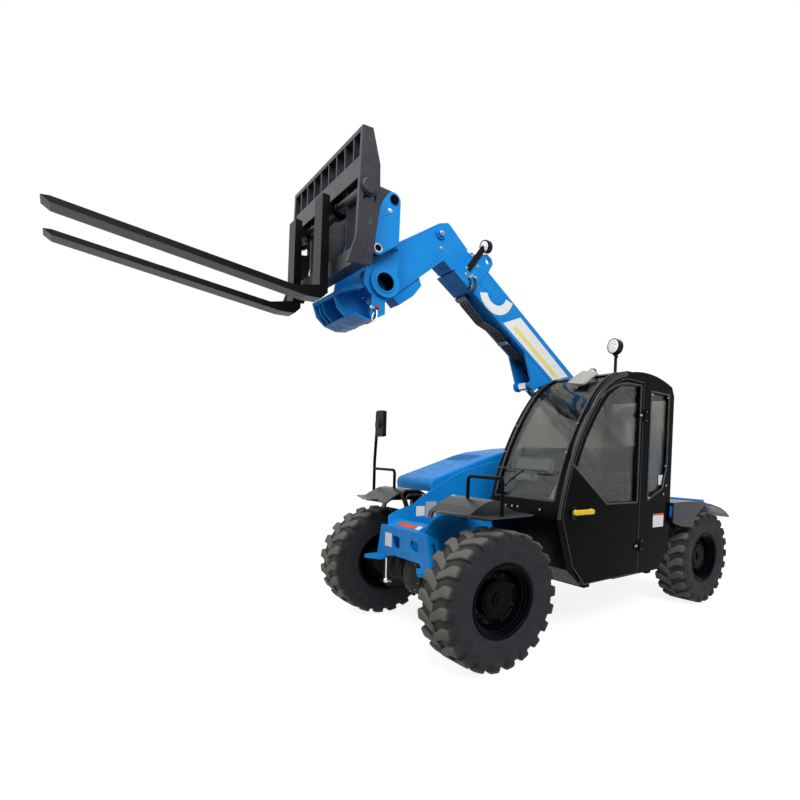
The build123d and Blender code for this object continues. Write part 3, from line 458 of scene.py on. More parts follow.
def dustyRubber(tree, where, deep, side, ground, top):
    # vulcanised natural rubber: blue-black walls, lug tops ground pale and brown by dry earth
    raised = addNode(tree, "Attribute", output="Fac", attribute_name="tread")
    blotch = addNode(tree, "TexNoise", {"Vector": where, "Scale": 1 / 55, "Detail": 7, "Roughness": 0.65})
    level = addNode(tree, "Math", {0: blotch, 1: 0.5}, operation="SUBTRACT")
    level = addNode(tree, "Math", {0: level, 1: 0.55, 2: raised}, operation="MULTIPLY_ADD")
    shades = [(0.12, linear(side)), (0.45, linear(deep)), (0.72, linear(ground)), (0.92, linear(top))]
    fine = addNode(tree, "TexNoise", {"Vector": where, "Scale": 1 / 5, "Detail": 5, "Roughness": 0.6})
    return addNode(tree, "BsdfPrincipled", {
        "Base Color": addNode(tree, "ValToRGB", {"Fac": level}, stops=shades),
        "Roughness": addNode(tree, "ValToRGB", {"Fac": blotch}, stops=[(0.3, grey(0.62)), (0.8, grey(0.92))]),
        "Normal": addNode(tree, "Bump", {"Height": fine, "Distance": 0.7 / 1000, "Strength": 0.5}),
        "Specular IOR Level": 0.3})


def safetyGlass(tree, where, tint, clearTint, dust, through):
    # flat toughened glass: clear with a grey-green edge, a film of dust and wiped smears
    pane = addNode(tree, "BsdfPrincipled", {
        "Base Color": linear(tint),
        "Roughness": mottle(tree, where, 110, 4, 0.5, (0.4, grey(0.0)), (0.85, grey(0.05))),
        "Transmission Weight": 1.0, "IOR": 1.45, "Specular IOR Level": 0.0})
    film = addNode(tree, "BsdfDiffuse", {"Color": linear(dust)})
    dusty = mottle(tree, where, 45, 7, 0.7, (0.5, grey(0.0)), (0.9, grey(0.02)))
    coated = addNode(tree, "MixShader", {0: dusty, 1: pane, 2: film})
    clear = addNode(tree, "BsdfTransparent", {"Color": linear(clearTint)})
    # most of the light goes straight through a thin pane; the rest carries its reflection and dust
    passing = anyRay(tree, ("Is Shadow Ray", "Is Diffuse Ray"))
    share = addNode(tree, "Math", {0: passing, 1: through}, operation="MAXIMUM")
    return addNode(tree, "MixShader", {0: share, 1: coated, 2: clear})


def printedVinyl(tree, where, base):
    # cast vinyl film stuck on paint: satin, a little dulled by weather
    dulled = [c * 0.86 for c in linear(base)[:3]] + [1]
    return addNode(tree, "BsdfPrincipled", {
        "Base Color": mottle(tree, where, 35, 6, 0.7, (0.4, linear(base)), (0.85, dulled)),
        "Roughness": mottle(tree, where, 20, 3, 0.5, (0.3, grey(0.35)), (0.8, grey(0.5)))})


def wovenCloth(tree, where, base, pale):
    # seat cover in plain woven polyester: threads 2 mm apart, crossed at right angles
    x, y, z = (addNode(tree, "TexWave", {"Vector": where, "Scale": 0.16, "Distortion": 1.0}, "Fac",
                       wave_type="BANDS", bands_direction=axis) for axis in "XYZ")
    weave = addNode(tree, "Math", {0: x, 1: y}, operation="MULTIPLY")
    weave = addNode(tree, "Math", {0: weave, 1: z}, operation="ADD")
    return addNode(tree, "BsdfPrincipled", {
        "Base Color": addNode(tree, "ValToRGB", {"Fac": weave}, stops=[(0.2, linear(base)), (0.9, linear(pale))]),
        "Normal": addNode(tree, "Bump", {"Height": weave, "Distance": 0.4 / 1000, "Strength": 0.7}),
        "Roughness": 0.9, "Sheen Weight": 0.05, "Specular IOR Level": 0.1})


def lensPaintedReflection(tree, where, base, line, strength):
    # clear lens over a silvered bowl: bright cells with dark lines between them; the lens's faint emission is a painted
    # reflection of the silvered bowl
    cells = addNode(tree, "TexVoronoi", {"Vector": where, "Scale": 1 / 17}, "Distance", feature="DISTANCE_TO_EDGE")
    return addNode(tree, "BsdfPrincipled", {
        "Base Color": addNode(tree, "ValToRGB", {"Fac": cells}, stops=[(0.02, linear(line)), (0.12, linear(base))]),
        "Roughness": 0.12, "Coat Weight": 1.0, "Emission Color": linear(base), "Emission Strength": strength})


# each look: the material's name, its recipe and the recipe's values, colours first
looks = {
    "blue_paint": ("sprayedBluePaint", sprayedPaint, "0480d2", "0d8cdb", 0.36, 0.2, 0.0, 0.05),
    "black_paint": ("sprayedBlackPaint", sprayedPaint, "020307", "05060a", 0.2, 0.04, 0.0, 0.006),
    "weight_iron": ("sprayedWeightPaint", sprayedPaint, "0a76d2", "1a84da", 0.38, 0.45, 0.1, 0.12),
    "fender_plastic": ("mouldedFenderPlastic", mouldedPolymer, "0b0c0e", "17181a", 0.3, 3.0, 0.42),
    "carriage_black": ("scuffedCarriagePaint", wornSteelPaint, "14161d", "2b2d36", "6c6c6a", (1, 1, 0.2), 0.4, 0.35),
    "fork_steel": ("scrapedForkPaint", wornSteelPaint, "030304", "08080a", "262522", (0.12, 1, 1), 0.35, 0.08),
    "cast_axle": ("sandCastAxle", roughCasting, "050506", "171614"),
    "engine_iron": ("sandCastEngine", roughCasting, "2a2a2b", "3d3b38"),
    "line_steel": ("oiledSteelLine", machinedMetal, "43474d", 0.2),
    "pin_steel": ("turnedPinSteel", machinedMetal, "8a8a8c", 0.3),
    "chrome_rod": ("hardChromePlate", machinedMetal, "d2d4d8", 0.06),
    "zinc_bolt": ("zincPlatedBolt", machinedMetal, "a9abad", 0.25),
    "tyre_rubber": ("dustyTreadRubber", dustyRubber, "24231f", "1b1c21", "444340", "65635e"),
    "seat_fabric": ("wovenSeatCover", wovenCloth, "050506", "0e0e11"),
    "moulded_plastic": ("mouldedPolypropylene", mouldedPolymer, "050507", "0c0c0e", 0.4, 1.6, 0.12),
    "grey_plastic": ("mouldedGreyPlastic", mouldedPolymer, "a5a49c", "b5b4ac", 0.35),
    "yellow_plastic": ("mouldedYellowNylon", mouldedPolymer, "e8bd08", "f2cf2c", 0.35),
    "red_plastic": ("mouldedRedNylon", mouldedPolymer, "b01010", "cc2018", 0.35),
    "lamp_plastic": ("mouldedRedLens", mouldedPolymer, "8e0d0d", "b01616", 0.12, 4.0, 0.6),
    "hose_rubber": ("extrudedHoseRubber", mouldedPolymer, "0a0a0b", "17171a", 0.35, 1.2, 0.35),
    "seal_rubber": ("extrudedSealRubber", mouldedPolymer, "111214", "222326", 0.4, 2.0, 0.6),
    "cab_glass": ("toughenedCabGlass", safetyGlass, "c9cac4", "ced0cc", "c9ccc8", 0.68),
    "mirror_glass": ("silveredMirror", machinedMetal, "c9cfd4", 0.02, 300),
    # the lamp lenses glow faintly: a painted reflection of their silvered bowls
    "clear_lens": ("lampLensPaintedReflection", lensPaintedReflection, "f4f6f8", "5f6468", 0.35),
    "white_vinyl": ("castWhiteVinyl", printedVinyl, "eef0ef"),
    "yellow_vinyl": ("castYellowVinyl", printedVinyl, "ebe283"),
    "orange_vinyl": ("castOrangeVinyl", printedVinyl, "d9502c"),
    "grey_vinyl": ("castGreyVinyl", printedVinyl, "aeb4b8"),
}
# solids that wear another look than the one their slot names
otherLooks = {"front_fenders": "fender_plastic", "rear_fenders": "fender_plastic",
              "chassis_cross_members": "black_paint"}
materials = {}


def makeMaterials():
    for key, recipe in looks.items():
        materials[key] = makeMaterial(*recipe)
    for part in frame["record"]["subparts"]:
        slots = nodes[part["node"]].data.materials
        finish = materials[otherLooks.get(part["node"], part["material_slot"])]
        if slots:
            slots[0] = finish
        else:
            slots.append(finish)


tyre = {
    "lugs": 22,
    "lean": 50.0,           # how far a lug's inner end runs ahead of its shoulder
    "leanRadius": 400,      # the radius at which that run is measured
    "tread": 414.4,
    "steps": 144,
    "stations": 34,
    "dustFrom": 372,        # radius where the pale dust starts, and how far out it is full
    "dustSpan": 42,
}

# half section of the carcass from the bead outward, up the wall and over to the middle: (distance from the
# centre plane, radius), with the rim guard, the ridge ring and the rounded shoulder
tyreWall = [(117, 207), (121, 219), (131, 228), (137, 234), (138, 240), (137, 250), (141, 268), (145, 292),
            (146.5, 318), (145.5, 338), (144.5, 347), (146.5, 350), (146.5, 355), (144, 358), (141, 366),
            (136, 377), (129, 386), (119, 391), (100, 394), (60, 396.5), (0, 397.5)]

# stations along one lug, from low on the shoulder to its inner end: distance from the centre plane and radius
# of its foot, the direction it stands up in, its height, how far it has run ahead, and its half width
lugStations = np.array([
    (138.0, 338, 1.0, 0.00, 1.0, 0.00, 25), (140.0, 350, 1.0, 0.05, 8.5, 0.00, 27),
    (140.0, 370, 0.95, 0.2, 9.2, 0.00, 28), (135.0, 384, 0.75, 0.6, 16.5, 0.00, 29),
    (128.0, 390, 0.5, 0.86, 24.0, 0.00, 30), (116.0, 392, 0.1, 1.0, 21.8, 0.00, 30),
    (92.0, 394, 0.0, 1.0, 20.2, 0.02, 30), (74.0, 395, 0.0, 1.0, 19.3, 0.16, 29),
    (40.0, 396, 0.0, 1.0, 18.4, 0.52, 26), (4.0, 397, 0.0, 1.0, 17.4, 0.90, 24),
    (-8.0, 397, 0.0, 1.0, 16.8, 1.00, 23), (-14.0, 397, 0.0, 1.0, -4.0, 1.04, 23)])
# the lug's own section: (share of its half width, share of its height)
lugSection = np.array([(-1.3, -0.35), (-1.2, 0.0), (-1.06, 0.6), (-1.0, 0.86), (-0.86, 1.0), (-0.3, 1.01),
                       (0.3, 1.01), (0.86, 1.0), (1.0, 0.86), (1.06, 0.6), (1.2, 0.0), (1.3, -0.35)])


def onWheel(angle, y, radius):
    # angle is measured from straight up towards the front
    return np.stack(np.broadcast_arrays(radius * np.sin(angle), y, radius * np.cos(angle)), -1)


def tyreParts():
    # the carcass is its wall profile turned about the axle; a lug is a section carried along bent stations
    half = np.array(tyreWall)
    loop = np.vstack([half, (half * (-1, 1))[-2::-1]])
    angle = np.arange(tyre["steps"]) * 2 * math.pi / tyre["steps"]
    parts = [skin(onWheel(angle[None, :], loop[:, :1], loop[:, 1:]), True)]
    at = np.linspace(0, len(lugStations) - 1, tyre["stations"])
    y, radius, sideways, outward, height, lean, width = (
        np.interp(at, np.arange(len(lugStations)), column)[:, None] for column in lugStations.T)
    size = np.hypot(sideways, outward)
    across, rise = lugSection[:, 0] * width, lugSection[:, 1] * height
    lugY = y + rise * sideways / size
    lugR = np.minimum(radius + rise * outward / size, tyre["tread"])
    lugAngle = (lean * tyre["lean"] + across) / tyre["leanRadius"]
    for row in (-1, 1):
        for index in range(tyre["lugs"]):
            turn = (index + (0.5 if row > 0 else 0)) * 2 * math.pi / tyre["lugs"]
            parts.append(skin(onWheel(turn + lugAngle, row * lugY, lugR)))
    return parts


def makeTyre(end, name, centre, parts):
    thing = piece(f"treadedTyre_{end}_{name}", [(points + centre, faces) for points, faces in parts],
                  "tyre_rubber", f"wheel_{end}_{name}", smooth=38)
    # how high each point stands, from the wall at 0 to the lug tops at 1, for the dust
    flat = np.vstack([points for points, _ in parts])
    height = np.clip((np.hypot(flat[:, 0], flat[:, 2]) - tyre["dustFrom"]) / tyre["dustSpan"], 0, 1)
    mark = thing.data.attributes.new("tread", "FLOAT", "POINT")
    mark.data.foreach_set("value", height.astype(np.float32))
    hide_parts(f"tyre_{end}_{name}")


wheelFittings = {
    "studs": 8,
    "studCircle": 145,
    "discPlane": 14,        # how far out from the wheel's middle plane the nuts sit
    "capScrews": 8,
    "capCircle": 85.28,
    "capPlane": 74,
}


def ringSpots(centre, count, radius, shift=0.0, sideways=xAxis):
    # even places on an upright circle about a centre, counted from its top towards sideways
    angle = (np.arange(count)[:, None] + shift) * 2 * math.pi / count
    return np.array(centre) + radius * (np.sin(angle) * sideways + np.cos(angle) * zAxis)


def makeStuds(end, name, side, centre):
    # wheel nuts with their washers and studs round the disc, the hub's cap screws and nut, bead ring and valve
    x, y, z = centre
    fit, out = wheelFittings, (0, side, 0)
    nuts, screws = [], []
    for spot in ringSpots((x, y + side * fit["discPlane"], z), fit["studs"], fit["studCircle"], 0.5):
        nuts += [turned([(0, 19), (3, 19), (5, 14)], spot, out, 20),
                 turned([(4, 15), (18, 15), (21, 11.5)], spot, out, 6),
                 turned([(18, 8), (31, 8), (33, 6)], spot, out, 14)]
    for spot in ringSpots((x, y + side * fit["capPlane"], z), fit["capScrews"], fit["capCircle"]):
        screws.append(turned([(-1, 6), (4, 6), (5, 5)], spot, out, 6))
    screws.append(turned([(82, 26), (85, 25), (87, 18)], centre, out, 6))
    bead = [(132.2, 222), (134, 221), (134.5, 217), (133, 213), (131.5, 213)]
    screws.append(turned(bead, centre, out, 96, True))
    nuts.append(tube([(x + 120, y + side * 12, z + 118), (x + 124, y + side * 40, z + 121)], 4, 0, 10))
    piece(f"wheelNuts_{end}_{name}", nuts, "cast_axle", f"wheel_{end}_{name}", smooth=30)
    piece(f"hubScrews_{end}_{name}", screws, "black_paint", f"wheel_{end}_{name}", smooth=30)


def makeWheels():
    parts = tyreParts()
    for end in ("front", "rear"):
        for name, side in (("left", 1), ("right", -1)):
            centre = (machine["axleX"][end], side * machine["wheelY"], machine["axleZ"])
            makeTyre(end, name, centre, parts)
            makeStuds(end, name, side, centre)


# pads: centre, half sizes and tilt; crown is how much fuller a pad is in its middle, swell the cloth's limit
seatShape = {
    "pads": {
        "seatCushion": ((-85, 515, 838), (250, 215, 48), -0.06),
        "seatBack": ((-318, 515, 1145), (270, 200, 52), math.pi / 2 + 0.15),
    },
    "crown": 0.10,
    "swell": 18.0,
    "fill": 0.6,
    "voxel": 6,
    "pressure": 4,
    "frames": 20,
}


def pillow(centre, half, crown, tilt=0.0):
    # a box rounded as a superellipse, fuller in its middle, with sides that pull in between the corners
    u = np.linspace(-math.pi / 2, math.pi / 2, 41)[1:-1]
    v = np.arange(72) * 2 * math.pi / 72

    def power(value, exponent):
        return np.sign(value) * np.abs(value) ** exponent
    cu, su, cv, sv = power(np.cos(u), 0.35), power(np.sin(u), 0.6), power(np.cos(v), 0.4), power(np.sin(v), 0.4)
    x, y, z = cu[:, None] * cv[None], cu[:, None] * sv[None], np.repeat(su[:, None], len(v), 1)
    swell = 1 + crown * (1 - x ** 2) * (1 - y ** 2)
    pinch = 1 - 0.05 * (1 - x ** 2 * y ** 2)
    local = np.stack([x * half[0] * pinch, y * half[1] * pinch, z * half[2] * swell], -1)
    c, k = math.cos(tilt), math.sin(tilt)
    x, y, z = np.moveaxis(local, -1, 0)
    return skin(np.stack([x * c + z * k, y, z * c - x * k], -1) + np.array(centre))


def puffed(thing, limit):
    # blows the pad up as cloth, no further than limit metres from where it started, and bakes the result in
    remesh = thing.modifiers.new("remesh", "REMESH")
    remesh.mode, remesh.voxel_size = "VOXEL", seatShape["voxel"] / 1000
    bpy.context.view_layer.objects.active = thing
    bpy.ops.object.modifier_apply(modifier="remesh")
    count = len(thing.data.vertices)
    start = np.empty(count * 3)
    thing.data.vertices.foreach_get("co", start)
    cloth = thing.modifiers.new("cloth", "CLOTH")
    cloth.settings.use_pressure = True
    cloth.settings.uniform_pressure_force = seatShape["pressure"]
    cloth.settings.effector_weights.gravity = 0
    cloth.settings.quality = 4
    cloth.point_cache.frame_start, cloth.point_cache.frame_end = 1, seatShape["frames"]
    for index in range(1, seatShape["frames"] + 1):
        bpy.context.scene.frame_set(index)
    graph = bpy.context.evaluated_depsgraph_get()
    after = np.empty(count * 3)
    thing.evaluated_get(graph).to_mesh().vertices.foreach_get("co", after)
    thing.evaluated_get(graph).to_mesh_clear()
    thing.modifiers.remove(cloth)
    bpy.context.scene.frame_set(1)
    shift = (after - start).reshape(-1, 3)
    far = np.linalg.norm(shift, axis=1)[:, None]
    capped = start.reshape(-1, 3) + shift * np.minimum(1, limit / np.maximum(far, 1e-9))
    thing.data.vertices.foreach_set("co", capped.ravel())
    thing.data.update()
    thing.data.shade_smooth()


def makeSeat():
    pads = [piece(name, [pillow(centre, half, seatShape["crown"], tilt)], "seat_fabric", smooth=60)
            for name, (centre, half, tilt) in seatShape["pads"].items()]
    for pad in pads:
        puffed(pad, seatShape["swell"] / 1000)
    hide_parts("driver_seat")
    # moulded pan and backrest shell, slide rails on their plinth, and the belt's buckle
    piece("seatShell", [panel((470, 400, 60), (-80, 515, 782), "xy", 26),
                        panel((500, 380, 90), (-384, 515, 1150), ((0.15, 0, 0.99), yAxis), 22),
                        panel((300, 300, 30), (-80, 515, 640), "xy", 142)], "moulded_plastic", bevel=6)
    piece("seatBase", [panel((340, 30, 6), (-80, y, 600), "xy", 40) for y in (400, 630)]
          + [panel((360, 330, 20), (-80, 515, 452), "xy", 148)], "black_paint", bevel=4)
    piece("beltBuckle", [tube([(-300, 705, 840), (-250, 735, 870), (-200, 735, 860)], 9, 2),
                         panel((60, 34, 6), (-170, 738, 866), "xz", -16)], "red_plastic", bevel=2)


# the cab's bowed front seen from the side, as (x, z) from the belt line to the roof; skinY is how far left the
# outer skin lies, and the tube and the seals are round
cab = {
    "front": [(757, 870), (640, 1300), (400, 1720), (250, 1858), (70, 1930)],
    "skinY": 861,
    "tubeY": 845,
    "tubeRadius": 23,
    "sealRadius": 7,
    "doorLow": 410,
}


def frontLine(shifts, low=30, high=12):
    # two arcs through the five points of the cab's front, each point moved by its own shift
    five = np.array(cab["front"], float) + shifts
    return np.vstack([arcThrough(*five[:3], low), arcThrough(*five[2:], high)[1:]])


def doorWindowLine(inset):
    # the door glass seen from the side: slanting belt, bowed front, straight rear and roof corner
    front = np.array([(628, 1300), (600, 1380), (562, 1460), (510, 1545), (448, 1622), (378, 1690),
                      (300, 1748), (215, 1795), (130, 1826), (60, 1838)])
    rear, low = -105 + inset, 960 + inset
    return np.vstack([[(rear, low), (255 - inset * 0.5, low), (640 - inset, 1250 + inset * 0.6)],
                      front - (inset * 0.8, inset * 0.6), [(rear, 1840 - inset), (rear, low)]])


def makeSeals():
    # black rubber glazing seals: a round bead pressed over each pane's edge
    bead = circle(cab["sealRadius"], 10)
    piece("doorWindowSeal", [carried(filled(sideLine(doorWindowLine(-4), cab["skinY"])), bead, yAxis)],
          "seal_rubber", "door")
    quarter = [(-243, 966), (-243, 1818), (-497, 1818), (-497, 1228), (-447, 1056), (-243, 966)]
    rear = [(-577, 215, 1015), (-577, 215, 1795), (-577, 797, 1795), (-577, 797, 1015), (-577, 215, 1015)]
    piece("cabWindowSeals", [carried(filled(sideLine(quarter, cab["skinY"])), bead, yAxis),
                             carried(filled(rear), circle(8, 10), xAxis)], "seal_rubber")
    line = frontLine([(2, 0), (2, 0), (2, 2), (2, 2), (2, 2)], 40, 16)
    line = line[line[:, 1] > 985][:-3]
    sill = [(line[0, 0], y, 984) for y in (198, 814)]
    piece("windscreenSeals", [carried(sideLine(line, y), bead, yAxis) for y in (198, 814)]
          + [carried(filled(sill), circle(8, 10), xAxis)], "seal_rubber")


def makeFrontTube():
    # round tube of the cab's front corner, from the belt line over to the roof
    line = frontLine([(-24, 0), (-22, -7), (-16, -16), (-12, -20), (0, -24)])
    piece("cabFrontTube", [carried(filled(sideLine(line, cab["tubeY"]), 30), circle(cab["tubeRadius"], 16), yAxis)],
          "fender_plastic")


def makeDoorEdge():
    # folded edge of the door skin, which catches the light all round it
    low = cab["doorLow"]
    line = np.vstack([[(-145, low), (470, low), (592, 546)],
                      frontLine([(-56, 0), (-50, -17), (-39, -39), (-28, -48), (0, -56)]), [(-145, 1874), (-145, low)]])
    piece("doorEdgeBead", [carried(filled(sideLine(line, cab["skinY"] - 0.5)), circle(4.5, 8), yAxis)],
          "fender_plastic", "door")


def makeCabDetails():
    # screws of the hinges, bolts of the quarter panel, belt line and front tube, latch plate and grab bar
    skinY, hinges = cab["skinY"], (620, 1620)
    piece("doorScrews", bolts([(x, 868, z) for z in hinges for x in (-118, -102)], yAxis, 6), "zinc_bolt", "door")
    cabBolts = bolts([(-186, skinY + 1, z + low) for z in hinges for low in (-33, 33)], yAxis, 6.5)
    quarter = [(-482, 1795), (-482, 1240), (-505, 1080), (-470, 1010), (-262, 985), (-262, 1795)]
    cabBolts += bolts(sideLine(quarter, skinY), yAxis, 6)
    cabBolts += bolts([(757, y, 921) for y in (344, 412, 475, 700, 280)], xAxis, 6.5)
    cabBolts += bolts([(x, y, z) for y in (185, 825) for x, z in ((652, 1308), (548, 1508))], (0.8, 0, 0.6), 5.5)
    piece("cabScrews", cabBolts, "zinc_bolt")
    piece("doorLatchPlate", [panel((46, 90, 12), (600, 860, 905), "xz", -9),
                             turned([(0, 15), (7, 15), (8, 12)], (600, 868, 925), yAxis, 24)],
          "moulded_plastic", "door", bevel=2)
    piece("doorGrabBars", [tube([(-60, 812, 1080), (-60, 790, 1090), (180, 790, 1060), (290, 812, 1020)], 11, 3)],
          "black_paint", "door")


def makeInterior():
    # dash hood with its switch pod, armrest with lever, lining under the roof and floor mat, blank cards
    piece("dashHood", [panel((150, 340, 30), (500, 515, 925), ((0.95, 0, 0.3), yAxis), 34),
                       panel((90, 190, 25), (430, 515, 955), ((0.6, 0, 0.8), yAxis), 20)], "moulded_plastic", bevel=6)
    piece("armrestConsole", [panel((300, 80, 25), (-120, 285, 1010), "xy", 45),
                             panel((180, 50, 10), (-160, 275, 700), "xy", 310)], "moulded_plastic", bevel=8)
    knob = turned([(-32, 12), (-28, 20), (0, 24), (26, 20), (34, 10)], (2, 290, 1172), (0.1, 0, 1), 24)
    piece("armrestLever", [tube([(-20, 285, 1050), (-10, 285, 1110), (0, 290, 1150)], 9, 2), knob], "moulded_plastic")
    piece("cabLining", [panel((480, 560, 50), (-190, 506, 1880), "xy", 8),
                        panel((500, 560, 30), (-20, 506, 452), "xy", 6)], "moulded_plastic", bevel=3)
    piece("blankInstructionCards", [panel((400, 90, 8), (560, 420, 1215), "yz", 2),
                                    panel((230, 70, 8), (560, 335, 1133), "yz", 2)], "white_vinyl")
    piece("cabPhoneHolder", [panel((40, 90, 12), (500, 230, 1300), "yz", 18)], "moulded_plastic", bevel=3)


tower = {
    "block": (-655, 190, 1450),
    "rows": 3,
    "columns": 5,
    "fittingGap": (42, 84),
    "hoses": 7,
    "hoseGap": 25,
    "hoseRadius": 13,
}


def makeTowerHoses():
    # a bulkhead of hose ends behind the cab, with hoses that arch back to the tower, and the rack they end on
    x, y, z = tower["block"]
    piece("hoseBulkhead", [panel((230, 260, 12), (x, y, z), "yz", -16),
                           panel((60, 90, 6), (x - 30, 165, z - 60), "xz", -40)], "blue_paint", bevel=3)
    bright, hoses = [], []
    beside, below = tower["fittingGap"]
    for row in range(tower["rows"]):
        for column in range(tower["columns"]):
            spot = np.array((x + 1, y - 84 + column * beside, z + 88 - row * below))
            bright.append(turned([(0, 15), (34, 15), (36, 12)], spot, xAxis, 6))
            bright.append(turned([(0, 11), (30, 11), (32, 14), (46, 14), (48, 11), (78, 11)],
                                 spot + (30, 0, -22), (-0.3, 0.2, 0.93), 16))
    piece("bulkheadFittings", bright, "chrome_rod", smooth=30)
    for index in range(tower["hoses"]):
        side, lift = y - 72 + index * tower["hoseGap"], 24 * (index % 3)
        hoses.append(tube([(x - 14, side, z + 60), (x - 4, side, z + 140), (x - 60, side, z + 250 + lift),
                           (x - 240, side - 10, z + 300 + lift), (x - 520, side - 16, z + 270 + lift),
                           (x - 730, side - 20, z + 120 + lift / 2), (x - 760, side - 20, z - 60)],
                          tower["hoseRadius"], 4, 14))
    piece("towerHoses", hoses, "hose_rubber")
    piece("hoseRack", [panel((190, 60, 8), (x - 760, y - 10, z - 96), "yz", -20),
                       panel((100, 50, 6), (x - 770, 190, z - 96), "yz", -14)], "blue_paint", bevel=3)


wiper = {
    "pivot": (748, 250, 1010),
    "tip": (716, 640, 1172),
    "blade": [(720, 140, 1190), (716, 400, 1184), (714, 690, 1176)],
}


def makeWiper():
    # arm and rubber blade that lie just in front of the windscreen
    pivot, tip = np.array(wiper["pivot"], float), np.array(wiper["tip"], float)
    line = [pivot + (6, 0, 0), pivot + (16, 30, 18), tip + (14, -190, -14), tip + (8, -150, 2)]
    piece("wiperArm", [tube(line, 5, 1), turned([(-4, 15), (18, 15), (22, 11)], pivot, (1, 0, 0.2), 20)], "black_paint")
    piece("wiperBlade", [carried(filled(wiper["blade"]), rectangle(9, 16, 2), (1, 0, 0.3))], "seal_rubber")


doorPull = {"x": 517, "z": 910, "length": 205, "footReach": 81}


def makeHandle():
    # yellow grip with rounded ends on two feet
    x, z, reach = doorPull["x"], doorPull["z"], doorPull["footReach"]
    grip = [panel((doorPull["length"], 36, 14), (x, 878, z), "backward xz", 15)]
    grip += [panel((34, 40, 12), (x + side * reach, 860.5, z), "backward xz", 19) for side in (1, -1)]
    thing = piece("yellowDoorPull", grip, "yellow_plastic", "door", bevel=5)
    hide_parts("door_handle")


lamps = {
    "roof": (75, 720, 2130),
    "boom": (558, 118, 240),            # s, y and n on the boom
    "boomFacing": (0.97, 0.2, -0.12),
    "tailY": (-460, 460),
    "tailZ": (725, 775),
}


def makeLamps():
    # work lamp on the roof: finned bowl with a clear cellular lens; ring and lens of the boom's lamp; red tail lenses
    spot = lamps["roof"]
    x, y, z = spot
    wall = [(-58, 20), (-56, 30), (-46, 44), (-30, 52), (-8, 57), (0, 57.8), (3, 57), (3, 51)]
    bowl = [turned(wall, spot, xAxis, 48)]
    bowl += [turned([(-50 + i * 9, 46 + i), (-47 + i * 9, 46.5 + i)], spot, xAxis, 40) for i in range(5)]
    bowl += [panel((36, 26, 4), (x - 30, y, z - 68), "xy", 14)] + bolts([(x - 30, y + 17, z - 78)], yAxis, 7)
    piece("roofLampBowl", bowl, "moulded_plastic")
    piece("roofLampLens", [turned([(0.5, 50), (4, 50), (8, 40), (10.5, 22), (11, 4)], spot, xAxis, 48)], "clear_lens")
    centre = boomPlace([lamps["boom"]])[0]
    facing = np.array(lamps["boomFacing"]) / np.linalg.norm(lamps["boomFacing"])
    piece("boomLampRing", [turned([(17.5, 46), (21, 45.5), (21, 40), (18, 39)], centre, facing, 48)],
          "moulded_plastic", "boom")
    piece("boomLampLens", [turned([(18.2, 39.5), (20, 38), (23, 24), (24, 5)], centre, facing, 40)],
          "clear_lens", "boom")
    piece("tailLampLenses", [turned([(-0.5, 20), (3, 20), (5, 14)], (-1824.5, y, z), (-1, 0, 0), 28)
                             for y in lamps["tailY"] for z in lamps["tailZ"]], "lamp_plastic")


mirrors = {
    "side": (1204, -689, 1496),
    "roofCorner": (330.0, 500, 1828),
    "roofAlong": (-134.0, 30, 107),
    "roofAcross": (17.0, 180, -28),
    "roofThick": 14,
}


def makeMirrors():
    # a silvered pane set in a moulded head on the right fender's post, and a flat moulded head on the roof's arm
    x, y, z = mirrors["side"]
    piece("sideMirrorPane", [panel((112, 186, 22), (x - 1, y, z), "yz", 3)], "mirror_glass")
    rim = [(x - 1, y + a, z + b) for a, b in ((-60, -96), (60, -96), (60, 96), (-60, 96), (-60, -96))]
    piece("sideMirrorRim", [carried(filled(rim, 10), circle(4, 8), xAxis),
                            turned([(0, 34), (8, 32), (14, 16)], (x + 26, y, z), xAxis, 28)], "moulded_plastic")
    along, across = np.array(mirrors["roofAlong"]), np.array(mirrors["roofAcross"])
    thick = -mirrors["roofThick"] / np.linalg.norm(np.cross(along, across))
    plate = slabOf(rectangle(1, 1, 0.12) + 0.5, mirrors["roofCorner"], along, across, thick)
    stem = tube([(60, 560, 1925), (95, 565, 1975), (190, 600, 1952), (232, 610, 1900)], 9, 2)
    head = piece("roofMirrorHead", [plate, stem], "grey_plastic", bevel=2)
    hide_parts("roof_mirror")


# on the boom's left face, as (s, n)
boomTrim = {
    "sideFace": 110.0,
    "banner": [(107, -90), (7, 76), (-690, 66), (-568, -84)],
    "stripe": [(12, -50), (-1, -10), (-598, -16), (-572, -54)],
    "arc": {"centre": (282, 49), "inner": 92, "outer": 162, "from": -45, "to": -199},
    "filmThick": 0.6,
    "seamRadius": 2.0,
    "hoseRadius": 8,
}


def onBoom(name, parts, material):
    return piece(name, [(boomPlace(points), faces) for points, faces in parts], material, "boom")


def film(outline, proud):
    # a thin sheet stuck on the boom's left face
    return slabOf(outline, (0, boomTrim["sideFace"] + proud, 0), *planes["xz"], -boomTrim["filmThick"])


